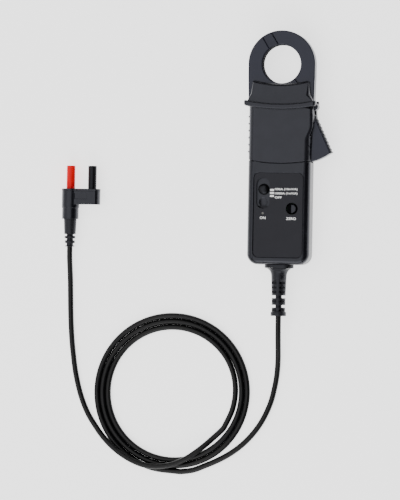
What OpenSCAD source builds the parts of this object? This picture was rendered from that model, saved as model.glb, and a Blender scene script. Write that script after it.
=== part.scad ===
// Clamp-on AC/DC current probe for an oscilloscope: a handle with a lever jaw,
// a moulded cord in a loose coil and a dual 4 mm safety plug. All sizes in mm.
// Local frame: X across the handle, Y from the cord end to the jaws, Z out of
// the front panel. The back lies on Z = 0.

/* [Handle] */
// Width of the handle
body_w = 54; // [54:0.5:60]
// Thickness of the handle, back to front
body_t = 25; // [25:0.5:30]
// Length of the lower section that holds the controls
control_len = 87; // [87:0.5:110]
// Length of the grip section, up to the hand guard
grip_len = 46; // [45:0.5:60]
// Wall thickness of the mouldings
wall = 2; // [1.6:0.1:2.2]
// Radius of the long front edges
front_edge_r = 6; // [4:0.5:7]
// Radius of the long back edges
back_edge_r = 3; // [2:0.5:4]
// Radius of the two corners at the cord end
end_corner_r = 9.5; // [6:0.5:12]
// Radius of the sagging arcs that cross the front
sag_r = 150; // [90:5:300]
// Gap between the two front mouldings
seam = 0.4; // [0.2:0.1:0.8]

/* [Hand guard and collar] */
// Height of the guard band
guard_h = 4.8; // [3:0.2:7]
// How far the guard stands out of each side
guard_out = 4; // [3:0.5:7]
// How far the guard stands out of the front
guard_rise = 3; // [1:0.5:5]
// Length of the collar above the guard
collar_len = 17.2; // [12:0.2:20]
// Width of the collar at its upper edge
collar_top_w = 48; // [40:1:50]
// Radius of the sagging arc of the collar's upper edge
collar_sag_r = 95; // [80:5:200]
// How much thinner the collar is at its upper edge
collar_slope = 3; // [1:0.5:4]

/* [Jaws] */
// Diameter of the conductor window
window_d = 33; // [30:0.5:35]
// Outer radius of the jaws
jaw_r = 28.9; // [28.5:0.1:31]
// Thickness of the jaws and of the lever
jaw_t = 12; // [11:0.5:13]
// Distance from the collar's edge to the window's centre
window_rise = 17.2; // [17:0.2:20]
// Radius of the rounded rims of the window
rim_r = 1.2; // [0.6:0.1:1.6]
// Angle of the joint between the jaws at the lower right
root_joint_angle = -47.6; // [-52:0.2:-44]
// Angle of the direction that the sensor tip faces
tip_angle = 31.4; // [28:0.2:36]
// Length of the sensor tip between its two joints
tip_len = 8.4; // [7:0.2:10]
// Distance of the tip's mating face from the window's centre
tip_offset = 5.96; // [4:0.1:8]
// Clearance between the moving jaw and everything it passes
jaw_play = 0.3; // [0.2:0.05:0.5]

/* [Lever and trigger] */
// Sideways position of the jaw pivot
pivot_x = 17; // [16:0.2:18]
// Distance of the pivot below the window's centre
pivot_drop = 41.3; // [41:0.2:43]
// Diameter of the pivot pin
pin_d = 4; // [3:0.5:5]
// Radial running clearance on the pivot pin
pin_clear = 0.05; // [0.02:0.01:0.1]
// Radius of the lever's boss
boss_r = 8.5; // [7.5:0.1:9]
// Distance from the pivot to the trigger's lower edge
trigger_r = 43.4; // [40:0.2:43.6]
// Thickness of the ribbed pad on the trigger
pad_t = 1.3; // [1.2:0.1:2.2]
// Spacing of the ribs on the trigger pad
pad_rib_pitch = 3.4; // [2.6:0.2:5]
// Wire diameter of the jaw spring
spring_wire = 1.1; // [0.8:0.1:1.2]

/* [Magnetic circuit] */
// Inner radius of the core halves
core_inner_r = 20; // [19.5:0.1:21]
// Outer radius of the core halves
core_outer_r = 25.6; // [24.5:0.1:26]
// Thickness of the core halves
core_t = 6.6; // [5:0.2:7.4]
// Clearance round the core inside the jaw shells
core_fit = 0.2; // [0.1:0.05:0.4]

/* [Control panel] */
// Width of the recessed panel
panel_w = 42.2; // [40:0.2:44]
// Height of the recessed panel
panel_h = 72.4; // [70:0.2:75]
// Distance of the panel from the cord end
panel_y = 6.2; // [5:0.1:8]
// Corner radius of the panel
panel_r = 4.4; // [2:0.2:7]
// Depth of the panel recess
panel_depth = 0.6; // [0.4:0.1:0.9]
// Thickness of the foil in the recess
foil_t = 0.3; // [0.2:0.05:0.4]

/* [Range switch] */
// Sideways position of the switch window
switch_x = -13.3; // [-15:0.1:-12]
// Height of the window's centre above the cord end
switch_y = 61.1; // [58:0.1:64]
// Width of the switch window
switch_w = 11.5; // [10:0.1:13]
// Length of the switch window
switch_len = 26.5; // [24:0.5:28]
// Diameter of the raised finger knob
finger_d = 9; // [7:0.1:9.2]
// Diameter of the dimple on the slider
dimple_d = 7.2; // [5:0.1:7.2]
// Travel of the slider from the first range to off
switch_travel = 4.9; // [3:0.1:5]

/* [Zero control and lamp] */
// Sideways position of the zero knob
zero_x = 11.8; // [10:0.1:14]
// Height of the zero knob above the cord end
zero_y = 48.1; // [46:0.1:52]
// Diameter of the well round the zero knob
zero_well_d = 10.3; // [9:0.1:12]
// Diameter of the zero knob
zero_knob_d = 7.7; // [6:0.1:8.4]
// Height of the lamp above the cord end
lamp_y = 43.9; // [42.5:0.1:44]
// Diameter of the lamp
lamp_d = 2; // [1.8:0.1:2]

/* [Battery] */
// Long side of the 9 V battery, without its terminals
battery_len = 45.9; // [44:0.1:46]
// Wide side of the battery
battery_w = 26.5; // [25:0.1:27]
// Thin side of the battery
battery_t = 17.5; // [16.5:0.1:18]
// Start of the battery bay above the cord end
battery_y = 8; // [7.5:0.1:9]

/* [Strain relief] */
// Length of the strain relief outside the handle
relief_len = 44; // [36:1:60]
// Width of the relief's flange
relief_flange_w = 25; // [20:0.5:26]
// Thickness of the relief's flange
relief_flange_t = 2.9; // [2:0.1:4]
// Diameter of the relief below its flange
relief_d = 13.2; // [11:0.1:14]
// Diameter of the bead at the relief's end
bead_d = 13.4; // [11:0.1:14]

/* [Cord] */
// Outer diameter of the cord
cord_d = 4.6; // [4:0.1:4.7]
// Radius of the coil's first turn, to the cord's centre
coil_r = 68.6; // [68:0.1:70]
// Distance between neighbouring turns
coil_pitch = 5.1; // [5.1:0.05:5.3]

/* [Plug] */
// Distance between the two plugs
plug_pitch = 19; // [18.5:0.5:20]
// Outer diameter of the plug sleeves
sleeve_d = 7.4; // [7:0.1:8]
// Inner diameter of the plug sleeves
sleeve_bore_d = 5.2; // [4.8:0.1:5.6]
// Free length of the plug sleeves
sleeve_len = 20; // [18:0.5:22]
// Diameter of the contact pins
contact_d = 4; // [3.9:0.05:4.1]
// Diameter of the plug's barrel
barrel_d = 15.2; // [14:0.1:17]
// Length of the barrel below the sleeves
barrel_len = 16.8; // [12:0.2:20]
// Diameter of the plug's lower barrel
tail_d = 14.4; // [12:0.1:15]
// Length of the plug's lower barrel
tail_len = 9.6; // [7:0.2:14]
// Size of the plug's bridge along the plugs
bridge_h = 13.6; // [9:0.2:16]
// Length of the boot at the cord's end
boot_len = 24; // [20:0.5:30]
// Diameter of the boot where it meets the plug
boot_d = 11.2; // [9:0.1:12]

/* [Hidden] */
$fn = 72;

// Heights along the handle, at its centreline
guard_y0 = control_len + grip_len;
guard_y1 = guard_y0 + guard_h;
collar_y = guard_y1 + collar_len;
window_y = collar_y + window_rise;
probe_len = window_y + jaw_r;
pivot = [pivot_x, window_y - pivot_drop];
half_w = body_w / 2;
guard_half_w = half_w + guard_out;
split_z = body_t / 2;
slot_z0 = split_z - jaw_t / 2 - jaw_play;
slot_z1 = split_z + jaw_t / 2 + jaw_play;
inner_half_w = half_w - wall;
inner_front_z = body_t - wall - panel_depth;

// Lever outline: the trigger's outer edge runs from its shoulder to its tip
trigger_top = pivot + [10.6, 0];
trigger_tip = pivot + trigger_r * [cos(-52.5), sin(-52.5)];
trigger_dir = (trigger_tip - trigger_top) / norm(trigger_tip - trigger_top);
trigger_out = [-trigger_dir[1], trigger_dir[0]];
trigger_inner_x = half_w - 1.8;
trigger_inner_angle = -acos((trigger_inner_x - pivot_x) / trigger_r);
pocket_x = pivot_x - 0.32 * trigger_r;

// The frame's origin is under the middle of the probe without its cord
probe_x_max = trigger_tip[0] + pad_t * trigger_out[0];
origin_x = (probe_x_max - guard_half_w) / 2;
origin_y = probe_len / 2;

// Stack of parts behind the panel
board_t = 1.6;
board_z = split_z + 2.3;
board_y0 = battery_y + battery_w + 7.6;
board_y1 = control_len - 3;
slider_z = inner_front_z - 1.5;
slider_t = 1.2;
battery_z = wall + 0.1;
relief_z = split_z;

// Screws: two below the board, two through the root of the fixed jaw
screw_d = 3;
screw_head_d = 5.4;
head_z = wall + 0.2;
post_r = 3.2;
lower_screw_y = battery_y + battery_w + 4.8;
lower_screws = [[-22, lower_screw_y], [22, lower_screw_y]];
root_screws = [[-18, pivot[1] - 6], [-2.6, pivot[1] - 2]];

// Routes of the cord's free stretches, from the end of the strain relief
relief_end = -relief_len;
probe_route = [
    [0, 0, relief_z], [0, -9, relief_z - 0.1], [-0.1, -18, relief_z - 1.5],
    [-0.3, -27, 8.4], [-0.6, -36, 5.4], [-1.2, -45, 3.2], [-2.2, -54, 2.4],
    [-3.8, -63, 2.3], [-6.2, -73, 2.3], [-10, -83, 2.3], [-15.2, -93, 2.3],
    [-22, -102.5, 2.3], [-30.5, -111.5, 2.3], [-40.5, -119.3, 2.3],
    [-51.5, -125.7, 2.3], [-63, -130.9, 2.3], [-73.4, -135, 2.3],
    [-83.1, -136.6, 2.3], [-87.7, -136.6, 2.3]];
plug_route = [
    [-57.2, -107.4, 3], [-63.4, -113.2, 5.2], [-70.9, -119.3, 6.9],
    [-80.3, -125.6, 7.5], [-91.3, -130.3, 7.5], [-103.6, -132.3, 7.5],
    [-116.4, -131.4, 7.5], [-127.5, -127.4, 7.5], [-137.9, -121.4, 7.2],
    [-146.5, -114.6, 6.4], [-154.5, -106.6, 4.4], [-161.6, -97.4, 2.7],
    [-167, -89, 2.3], [-171.4, -79.5, 2.3], [-174.9, -69.5, 2.3],
    [-177.6, -59, 2.3], [-179.7, -48.5, 2.3], [-181.2, -37.5, 2.3],
    [-182.5, -26.5, 2.3], [-183.4, -15.5, 2.3], [-184, -4.5, 2.3],
    [-184.4, 6.5, 2.3], [-184.7, 17.5, 2.3], [-184.9, 28, 3],
    [-185, 38, 5.1], [-185, 46.5, 7.3], [-185, 51.5, 7.7], [-185, 56.5, 7.7]];
run_sides = 10;

// Coil: a flat spiral of almost three turns, wound inwards
coil_sides = 6;
coil_step = 15;
coil_sweep = 1020;
coil_z = cord_d / 2;
coil_tuck = 1.6;
coil_tuck_sweep = 75;
coil_start = probe_route[len(probe_route) - 1];
coil_centre = [coil_start[0] - cord_d, coil_start[1] + coil_r];
plug_at = plug_route[len(plug_route) - 1];

// ---------------------------------------------------------------- helpers

module placed() {
    translate([-origin_x, -origin_y, 0]) children();
}

// Extrudes a cross-section, drawn as X across and Y up, along the handle
module along_y(y0, y1) {
    translate([0, y1, 0]) rotate([90, 0, 0]) linear_extrude(y1 - y0) children();
}

module slab(z0, z1) {
    translate([0, 0, z0]) linear_extrude(z1 - z0) children();
}

// Cross-section of the handle, drawn in by inset
module section(inset = 0) {
    rf = front_edge_r - inset;
    rb = max(back_edge_r - inset, 0.5);
    w = half_w - inset;
    for (side = [-1, 1]) {
        translate([side * (w - rf), body_t - inset - rf]) circle(rf);
        translate([side * (w - rb), inset + rb]) circle(rb);
    }
    translate([-(w - rf), inset]) square([2 * (w - rf), body_t - 2 * inset]);
    translate([-w, inset + rb]) square([2 * w, body_t - 2 * inset - rf - rb]);
    translate([-(w - rb), inset]) square([2 * (w - rb), rb]);
}

// Outline of the lower section from above, rounded at the cord end
module lower_outline(inset = 0) {
    r = end_corner_r - inset;
    w = half_w - inset;
    for (side = [-1, 1])
        translate([side * (w - r), inset + r]) circle(r);
    translate([-(w - r), inset]) square([2 * (w - r), r]);
    translate([-w, inset + r]) square([2 * w, guard_y1]);
}

// Everything below, or above, the sagging arc that crosses the centre at y
module below_arc(y, r = sag_r) {
    difference() {
        translate([-60, -60]) square([120, y + 100]);
        translate([0, y + r]) circle(r, $fn = 180);
    }
}

module above_arc(y) {
    intersection() {
        translate([-60, y - 1]) square([120, 60]);
        translate([0, y + sag_r]) circle(sag_r, $fn = 180);
    }
}

module arc_band(y0, y1) {
    intersection() {
        above_arc(y0);
        below_arc(y1);
    }
}

// Shoulder that covers the lever where it leaves the handle
module shoulder_outline() {
    shoulder_r = 7;
    translate([half_w - shoulder_r + 2.6, pivot[1] - 7.5]) circle(shoulder_r);
    polygon([[half_w - 4, pivot[1] - 22], [half_w, pivot[1] - 20],
        [half_w + 1.6, pivot[1] - 12], [half_w + 2.6, pivot[1] - 7.5],
        [half_w + 2, guard_y0 + 2.5], [half_w - 6, guard_y0 + 2.5]]);
}

module collar_outline() {
    top = collar_top_w / 2;
    foot = half_w + 2;
    bend = top + 0.36 * (foot - top);
    intersection() {
        above_arc(guard_y1 - 0.5);
        below_arc(collar_y, collar_sag_r);
        polygon([[-foot, guard_y1 - 1], [foot, guard_y1 - 1], [foot, guard_y1 + 1],
            [bend, guard_y1 + 0.5 * collar_len], [top, collar_y + 5],
            [-top, collar_y + 5], [-bend, guard_y1 + 0.5 * collar_len],
            [-foot, guard_y1 + 1]]);
    }
}

module guard_outline() {
    intersection() {
        arc_band(guard_y0, guard_y1);
        translate([-guard_half_w, guard_y0 - 2]) square([2 * guard_half_w, 20]);
    }
}

// The hollow that runs through the handle
module handle_hollow() {
    intersection() {
        slab(0, body_t) lower_outline(wall);
        along_y(0, guard_y1 + 1) section(wall);
    }
}

// Groove along the seam of the two front mouldings
module seam_groove() {
    difference() {
        slab(split_z, body_t + 1)
            arc_band(control_len - seam / 2, control_len + seam / 2);
        along_y(control_len - 20, guard_y0) section(0.7);
    }
}

// Slot that the jaws and the lever lie and swing in
module lever_slot() {
    slab(slot_z0, slot_z1) {
        intersection() {
            translate(pivot) circle(trigger_r + 0.7, $fn = 160);
            translate([pocket_x - 1, 0]) square([80, pivot[1]]);
        }
        translate([pocket_x - 1, pivot[1] - 1]) square([80, 80]);
        translate([-jaw_r + 0.3, guard_y0 + 1.5]) square([80, 80]);
    }
}

// Cross-section of the guard, and of the chamfered collar
module guard_section(r = 2.5) {
    top = body_t + guard_rise;
    for (side = [-1, 1]) {
        translate([side * (guard_half_w - r), top - r]) circle(r);
        translate([side * (guard_half_w - r), r]) circle(r);
    }
    translate([-guard_half_w + r, 0]) square([2 * (guard_half_w - r), top]);
    translate([-guard_half_w, r]) square([2 * guard_half_w, top - 2 * r]);
}

module collar_section() {
    foot = half_w + 2.2;
    polygon([[-foot + 3, 0], [foot - 3, 0], [foot, 3], [foot, body_t - 4.5],
        [foot - 1.6, body_t], [-foot + 1.6, body_t], [-foot, body_t - 4.5], [-foot, 3]]);
}

module collar_wedge() {
    translate([-60, 0, 0]) rotate([90, 0, 90]) linear_extrude(120)
        polygon([[guard_y0, 0], [guard_y0, body_t], [guard_y1, body_t],
            [collar_y + 4, body_t - collar_slope], [collar_y + 4, 0]]);
}

module side_ribs(z0, z1) {
    rib_pitch = 6;
    for (i = [0 : 5])
        slab(z0, z1) translate([-half_w, control_len + 9.6 + i * rib_pitch])
            circle(0.7, $fn = 16);
}

module post(at, z0, z1, r = post_r) {
    translate([at[0], at[1], z0]) cylinder(h = z1 - z0, r = r);
}

module round_rect(w, h, r) {
    for (x = [r, w - r])
        for (y = [r, h - r])
            translate([x, y]) circle(r);
    translate([r, 0]) square([w - 2 * r, h]);
    translate([0, r]) square([w, h - 2 * r]);
}

module obround(w, l) {
    for (side = [-1, 1])
        translate([0, side * (l - w) / 2]) circle(w / 2);
    translate([-w / 2, -(l - w) / 2]) square([w, l - w]);
}

// ---------------------------------------------------------------- housing

door_y1 = battery_y + battery_w + 1.5;
door_half_w = half_w - 4.4;
tongue = 1.6;
ledge_z = 0.8;
door_play = 0.25;

module rear_shell() {
    color("#26272a") placed() difference() {
        union() {
            difference() {
                union() {
                    intersection() {
                        slab(0, split_z) lower_outline();
                        along_y(0, guard_y1) section();
                    }
                    slab(0, slot_z0) shoulder_outline();
                    intersection() {
                        slab(0, slot_z0) collar_outline();
                        along_y(guard_y0, collar_y + 8) collar_section();
                    }
                    intersection() {
                        slab(0, split_z) guard_outline();
                        along_y(guard_y0 - 5, guard_y1 + 8) guard_section();
                    }
                    side_ribs(4, split_z);
                }
                handle_hollow();
                lever_slot();
                // Opening of the battery door, wider above its ledges
                slab(-1, wall) translate([-door_half_w, -1])
                    square([2 * door_half_w, door_y1 + 1]);
                slab(ledge_z, wall) translate([-door_half_w - tongue, -1])
                    square([2 * (door_half_w + tongue), door_y1 + 1]);
            }
            // Posts of the pivot pin, the jaw root and the lower screws
            post(pivot, wall - 0.5, slot_z0, 4.2);
            for (at = root_screws) post(at, 1, slot_z0 + jaw_play);
            for (at = lower_screws) post(at, 1, split_z);
            // Bulkhead and ribs that hold the battery
            intersection() {
                slab(wall + 0.1, split_z) {
                    translate([-half_w, battery_y + battery_w])
                        square([body_w, 1.4]);
                    for (side = [-1, 1])
                        translate([side * 12 - 2, wall - 0.5])
                            square([4, battery_y - wall + 0.5]);
                }
                slab(0, body_t) lower_outline(wall / 2);
            }
            // Pillars under the board
            for (x = [-19, 19])
                for (y = [board_y0 + 4, board_y1 - 4])
                    post([x, y], wall - 0.5, board_z, 2.4);
        }
        post(pivot, wall - 0.8, body_t, pin_d / 2);
        for (at = concat(lower_screws, root_screws)) {
            post(at, -1, head_z, screw_head_d / 2);
            post(at, 0, body_t, screw_d / 2);
        }
        // Passage of the strain relief
        along_y(-1, wall + 1) translate([0, relief_z]) circle(4.5);
    }
}

module front_shell() {
    color("#3a3b3f") placed() difference() {
        union() {
            difference() {
                union() {
                    intersection() {
                        slab(split_z, body_t) intersection() {
                            lower_outline();
                            above_arc(control_len);
                        }
                        along_y(0, guard_y1) section();
                    }
                    slab(slot_z1, body_t - 1.5) shoulder_outline();
                    intersection() {
                        slab(slot_z1, body_t) collar_outline();
                        along_y(guard_y0, collar_y + 8) collar_section();
                        collar_wedge();
                    }
                    intersection() {
                        slab(split_z, body_t + guard_rise) guard_outline();
                        along_y(guard_y0 - 5, guard_y1 + 8) guard_section();
                    }
                    side_ribs(split_z, body_t - 5);
                }
                handle_hollow();
                lever_slot();
                seam_groove();
            }
            post(pivot, slot_z1, body_t - wall + 0.5, 4.2);
            for (at = root_screws)
                post(at, slot_z1 - jaw_play, body_t - wall + 0.5);
        }
        post(pivot, 0, body_t - wall, pin_d / 2);
        for (at = root_screws) post(at, 0, body_t - wall, screw_d / 2);
    }
}

module control_cover() {
    color("#2f3033") placed() difference() {
        union() {
            difference() {
                intersection() {
                    slab(split_z, body_t) intersection() {
                        lower_outline();
                        below_arc(control_len);
                    }
                    along_y(0, guard_y1) section();
                }
                intersection() {
                    handle_hollow();
                    slab(0, inner_front_z) square(2 * [body_w, probe_len], center = true);
                }
                lever_slot();
                seam_groove();
            }
            // Ring wall of the zero well and posts of the lower screws
            post([zero_x, zero_y], inner_front_z - 1.6, inner_front_z + 0.5,
                zero_well_d / 2 + 1.2);
            for (at = lower_screws) post(at, split_z, inner_front_z + 0.5);
        }
        // Panel recess and the openings in it
        slab(body_t - panel_depth, body_t + 1) translate([-panel_w / 2, panel_y])
            round_rect(panel_w, panel_h, panel_r);
        slab(split_z, body_t + 1) translate([switch_x, switch_y])
            obround(switch_w, switch_len);
        post([zero_x, zero_y], split_z, body_t + 1, zero_well_d / 2);
        post([switch_x, lamp_y], split_z, body_t + 1, lamp_d / 2 + 0.1);
        along_y(-1, wall + 1) translate([0, relief_z]) circle(4.5);
        for (at = lower_screws) post(at, 0, inner_front_z - 1, screw_d / 2);
    }
}

module panel_foil() {
    color("#323337") placed() {
        slab(body_t - panel_depth, body_t - panel_depth + foil_t) difference() {
            translate([-panel_w / 2 + 0.15, panel_y + 0.15])
                round_rect(panel_w - 0.3, panel_h - 0.3, panel_r - 0.15);
            translate([switch_x, switch_y]) obround(switch_w, switch_len);
            translate([zero_x, zero_y]) circle(zero_well_d / 2);
            translate([switch_x, lamp_y]) circle(lamp_d / 2 + 0.5);
        }
    }
}

// Door of the battery bay: it slides off towards the cord end
module battery_door() {
    main_w = door_half_w - door_play;
    wide_w = main_w + tongue;
    color("#232427") placed() intersection() {
        union() {
            slab(0.2, wall - 0.15) difference() {
                translate([-main_w, 0]) square([2 * main_w, door_y1 - door_play]);
                // Slots for a fingertip
                for (x = [-8 : 2 : 8])
                    translate([x - 0.4, 8]) square([0.8, 10]);
            }
            slab(ledge_z + door_play, wall - 0.15) difference() {
                translate([-wide_w, 0]) square([2 * wide_w, door_y1 - door_play]);
                translate([-9, 7]) square([18, 12]);
            }
        }
        slab(0, body_t) lower_outline();
    }
}

// ------------------------------------------------------------ jaws and lever

// Both jaws' outline: a ring on two straight legs
module arch_outline() {
    leg_x = jaw_r - 0.02;
    right = [[jaw_r - 0.6, window_y + 3], [leg_x, window_y - 0.5],
        [leg_x, window_y - 10], [jaw_r - 0.6, guard_y1 + 3], [jaw_r - 1.4, guard_y0 + 2]];
    left = [for (i = [len(right) - 1 : -1 : 0]) [-right[i][0], right[i][1]]];
    translate([0, window_y]) circle(jaw_r, $fn = 120);
    polygon(concat(right, left));
}

// Half plane cut of the moving jaw, kept back by gap from the two joints
module moving_side(gap) {
    root_dir = [cos(root_joint_angle), sin(root_joint_angle)];
    root_out = [-root_dir[1], root_dir[0]];
    tip_out = [cos(tip_angle), sin(tip_angle)];
    tip_dir = [-tip_out[1], tip_out[0]];
    near = (tip_offset + gap) * tip_out;
    translate([0, window_y])
        polygon([near, near + 70 * tip_dir, [70, 70], [70, -60],
            50 * root_dir + gap * root_out, 4 * root_dir + gap * root_out]);
}

// Where the joint at the lower right leaves the ring
joint_end = [jaw_r * cos(root_joint_angle), window_y + jaw_r * sin(root_joint_angle)];

// Room of the lever's arm below the ring
module arm_side(gap) {
    polygon([joint_end - [gap, -0.5], [10.2 - gap, pivot[1] + 7.4],
        [10.2 - gap, pivot[1] - 20], [60, pivot[1] - 20], [60, joint_end[1] + 0.5]]);
}

module fixed_body(z0, z1) {
    difference() {
        union() {
            intersection() {
                slab(z0, z1) arch_outline();
                slab(z0, z1) translate([-body_w, 0]) square([2 * body_w, 2 * probe_len]);
            }
            slab(z0, z1) translate([-inner_half_w + 0.4, pivot[1] - 12])
                square([inner_half_w + 3.6, guard_y0 + 17 - pivot[1]]);
        }
        slab(z0 - 1, z1 + 1) moving_side(0);
        slab(z0 - 1, z1 + 1) arm_side(jaw_play);
        slab(z0 - 1, z1 + 1) tip_strip(tip_back, 60);
        post(pivot, z0 - 1, z1 + 1, boss_r + 1.6);
    }
}

// The moving jaw, its arm, boss and trigger
module lever_body(z0, z1) {
    intersection() {
        slab(z0, z1) arch_outline();
        slab(z0, z1) {
            moving_side(jaw_play);
            polygon([joint_end + [jaw_play, 0.6], [10.6, pivot[1] + 7.2],
                [10.6, pivot[1]], [60, pivot[1]], [60, joint_end[1] + 2]]);
        }
    }
    post(pivot, z0, z1, boss_r);
    intersection() {
        slab(z0, z1) translate(pivot) circle(trigger_r, $fn = 160);
        slab(z0, z1) polygon([pivot + [-5, -6.6], pivot + [7.5, -0.62 * trigger_r],
            pivot + 1.1 * trigger_r * [cos(trigger_inner_angle), sin(trigger_inner_angle)],
            trigger_tip + 8 * trigger_dir, trigger_top, pivot + [10.4, 6]]);
    }
    // Guard segment that the lever carries, with a rounded end
    slab(z0, z1) polygon([[pivot[0] + 3, guard_y0 - 0.4],
        [guard_half_w - 2.2, guard_y0 - 0.1], [guard_half_w - 1.6, guard_y1 + 0.2],
        [jaw_r - 3, guard_y1 + 3], [pivot[0] + 3, guard_y1 + 3]]);
    post([guard_half_w - 2.4, guard_y0 + 2.9], z0, z1, 3.4);
}

// The window with its rounded rims
module window_cut() {
    r = window_d / 2;
    h = jaw_t / 2 - rim_r;
    translate([0, window_y, split_z]) rotate_extrude($fn = 120) difference() {
        translate([0, -jaw_t]) square([r + rim_r, 2 * jaw_t]);
        translate([r + rim_r, h]) circle(rim_r, $fn = 24);
        translate([r + rim_r, -h]) circle(rim_r, $fn = 24);
        translate([r, -h]) square([rim_r, 2 * h]);
    }
}

module core_band(grow) {
    translate([0, window_y]) difference() {
        circle(core_outer_r, $fn = 120);
        circle(core_inner_r - grow, $fn = 120);
    }
}

// The side of the sensor tip, as a strip between the tip's two joints
module tip_strip(from, to) {
    translate([0, window_y]) rotate(tip_angle)
        translate([from, 0]) square([to - from, 70]);
}

tip_back = tip_offset - tip_len;

module fixed_core_outline(grow) {
    difference() {
        core_band(grow);
        moving_side(-0.8 + grow);
        tip_strip(tip_back - 0.6 + grow, 60);
    }
}

module moving_core_outline(grow) {
    intersection() {
        core_band(grow);
        moving_side(jaw_play + 0.8 - grow);
    }
}

// One half of the fixed jaw, between z0 and z1
module fixed_jaw_half(z0, z1) {
    difference() {
        fixed_body(z0, z1);
        window_cut();
        slab(split_z - core_t / 2 - core_fit, split_z + core_t / 2 + core_fit)
            fixed_core_outline(core_fit);
        for (at = root_screws) post(at, 0, body_t, screw_d / 2 + 0.1);
    }
}

module fixed_jaw_front() {
    color("#2b2c33") placed() fixed_jaw_half(split_z, split_z + jaw_t / 2);
}

module fixed_jaw_back() {
    color("#26272d") placed() fixed_jaw_half(split_z - jaw_t / 2, split_z);
}

sensor_r = (core_inner_r + core_outer_r) / 2;

module sensor_tip() {
    color("#2b2c33") placed() difference() {
        slab(split_z - jaw_t / 2, split_z + jaw_t / 2) intersection() {
            arch_outline();
            tip_strip(tip_back, tip_offset);
        }
        window_cut();
        // Pocket of the sensor
        translate([0, window_y, split_z]) rotate(tip_angle)
            translate([tip_offset - 3.4, sensor_r - 2.9, -2.4]) cube([2.2, 5.4, 4.8]);
    }
}

module hall_sensor() {
    color("#101114") placed()
        translate([0, window_y, split_z]) rotate(tip_angle)
            translate([tip_offset - 3.4, sensor_r - 2.6, -2.1]) cube([1.6, 4.8, 4.2]);
}

module fixed_core() {
    color("#8b8e93") placed()
        slab(split_z - core_t / 2, split_z + core_t / 2) fixed_core_outline(0);
}

module moving_core() {
    color("#8b8e93") placed()
        slab(split_z - core_t / 2, split_z + core_t / 2) moving_core_outline(0);
}

module lever_half(z0, z1) {
    difference() {
        lever_body(z0, z1);
        window_cut();
        slab(split_z - core_t / 2 - core_fit, split_z + core_t / 2 + core_fit)
            moving_core_outline(core_fit);
        post(pivot, 0, body_t, pin_d / 2 + pin_clear);
    }
}

module lever_front() {
    color("#2b2c33") placed() lever_half(split_z, split_z + jaw_t / 2);
}

module lever_back() {
    color("#26272d") placed() lever_half(split_z - jaw_t / 2, split_z);
}

// Ribbed pad along the trigger's outer edge
module trigger_pad() {
    pad_from = 3;
    pad_len = norm(trigger_tip - trigger_top) - pad_from;
    count = floor((pad_len - 3) / pad_rib_pitch);
    end = trigger_tip + pad_t * trigger_out;
    color("#1f2022") placed()
        slab(split_z - jaw_t / 2 + 1, split_z + jaw_t / 2 - 1) {
            polygon([trigger_top + pad_from * trigger_dir, trigger_tip,
                end, end - 0.8 * trigger_dir,
                end - 1.2 * trigger_dir - 0.5 * trigger_out,
                trigger_top + pad_from * trigger_dir + (pad_t - 0.5) * trigger_out]);
            for (i = [0 : count])
                translate(trigger_top + (pad_from + 1.2 + i * pad_rib_pitch) * trigger_dir
                    + (pad_t - 0.6) * trigger_out) circle(0.6, $fn = 16);
        }
}

module jaw_pin() {
    color("silver") placed()
        translate([pivot[0], pivot[1], wall - 0.8])
            cylinder(h = body_t - 2 * wall + 0.8, d = pin_d);
}

// ------------------------------------------------------------------ controls

module circuit_board() {
    color("#1d5c3a") placed() difference() {
        slab(board_z, board_z + board_t)
            translate([-inner_half_w + 1.4, board_y0])
                square([2 * inner_half_w - 2.8, board_y1 - board_y0]);
        // Clearance for the trigger, which swings into the handle
        slab(0, body_t) translate(pivot) circle(trigger_r + 1.2);
        for (at = lower_screws) post(at, 0, body_t, post_r + 0.3);
    }
}

module range_switch() {
    color("#5d6066") placed() difference() {
        slab(board_z + board_t, slider_z - 0.2)
            translate([switch_x - 4.5, switch_y - 10]) square([9, 22]);
        slab(slider_z - 2.4, slider_z)
            translate([switch_x - 1.4, switch_y - 5]) square([2.8, 10.4]);
    }
}

slider_y0 = lamp_y + lamp_d / 2 + 0.4 + switch_travel;
slider_y1 = switch_y + switch_len / 2 + 5.2;
finger_y = switch_y + 3.4;
dimple_y = slider_y0 + dimple_d / 2 + 0.1;

module switch_slider() {
    color("#17181a") placed() {
        difference() {
            slab(slider_z, slider_z + slider_t)
                translate([switch_x - switch_w / 2 - 0.8, slider_y0])
                    round_rect(switch_w + 1.6, slider_y1 - slider_y0, 1);
            translate([switch_x, dimple_y, slider_z + slider_t])
                scale([1, 1, 0.2]) sphere(d = dimple_d - 1.2, $fn = 32);
        }
        // Finger knob with a domed top
        translate([switch_x, finger_y, slider_z + slider_t]) rotate_extrude()
            polygon(concat([[0, -0.2], [finger_d / 2, -0.2]],
                [for (a = [0 : 15 : 90]) [finger_d / 2 * cos(a), 2.2 + 1.4 * sin(a)]]));
        // Stem that drives the switch
        slab(slider_z - 2, slider_z + 0.1)
            translate([switch_x - 1, switch_y + 2.4]) square([2, 2.6]);
    }
}

zero_body_z = board_z + board_t;
zero_body_h = 4;
shaft_r = 1.5;

module zero_control() {
    color("#35507a") placed() difference() {
        slab(zero_body_z, zero_body_z + zero_body_h)
            translate([zero_x - 4.4, zero_y - 4.4]) square(8.8);
        post([zero_x, zero_y], zero_body_z + 1, body_t, shaft_r + 0.05);
    }
}

module zero_knob() {
    top = body_t - panel_depth - 0.5;
    color("#1a1b1d") placed() difference() {
        union() {
            post([zero_x, zero_y], zero_body_z + 1.2, top - 1, shaft_r);
            post([zero_x, zero_y], zero_body_z + zero_body_h + 0.3, top, zero_knob_d / 2);
        }
        slab(top - 1, top + 1) translate([zero_x - 0.6, zero_y - 3.2])
            square([1.2, 6.4]);
    }
}

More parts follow.
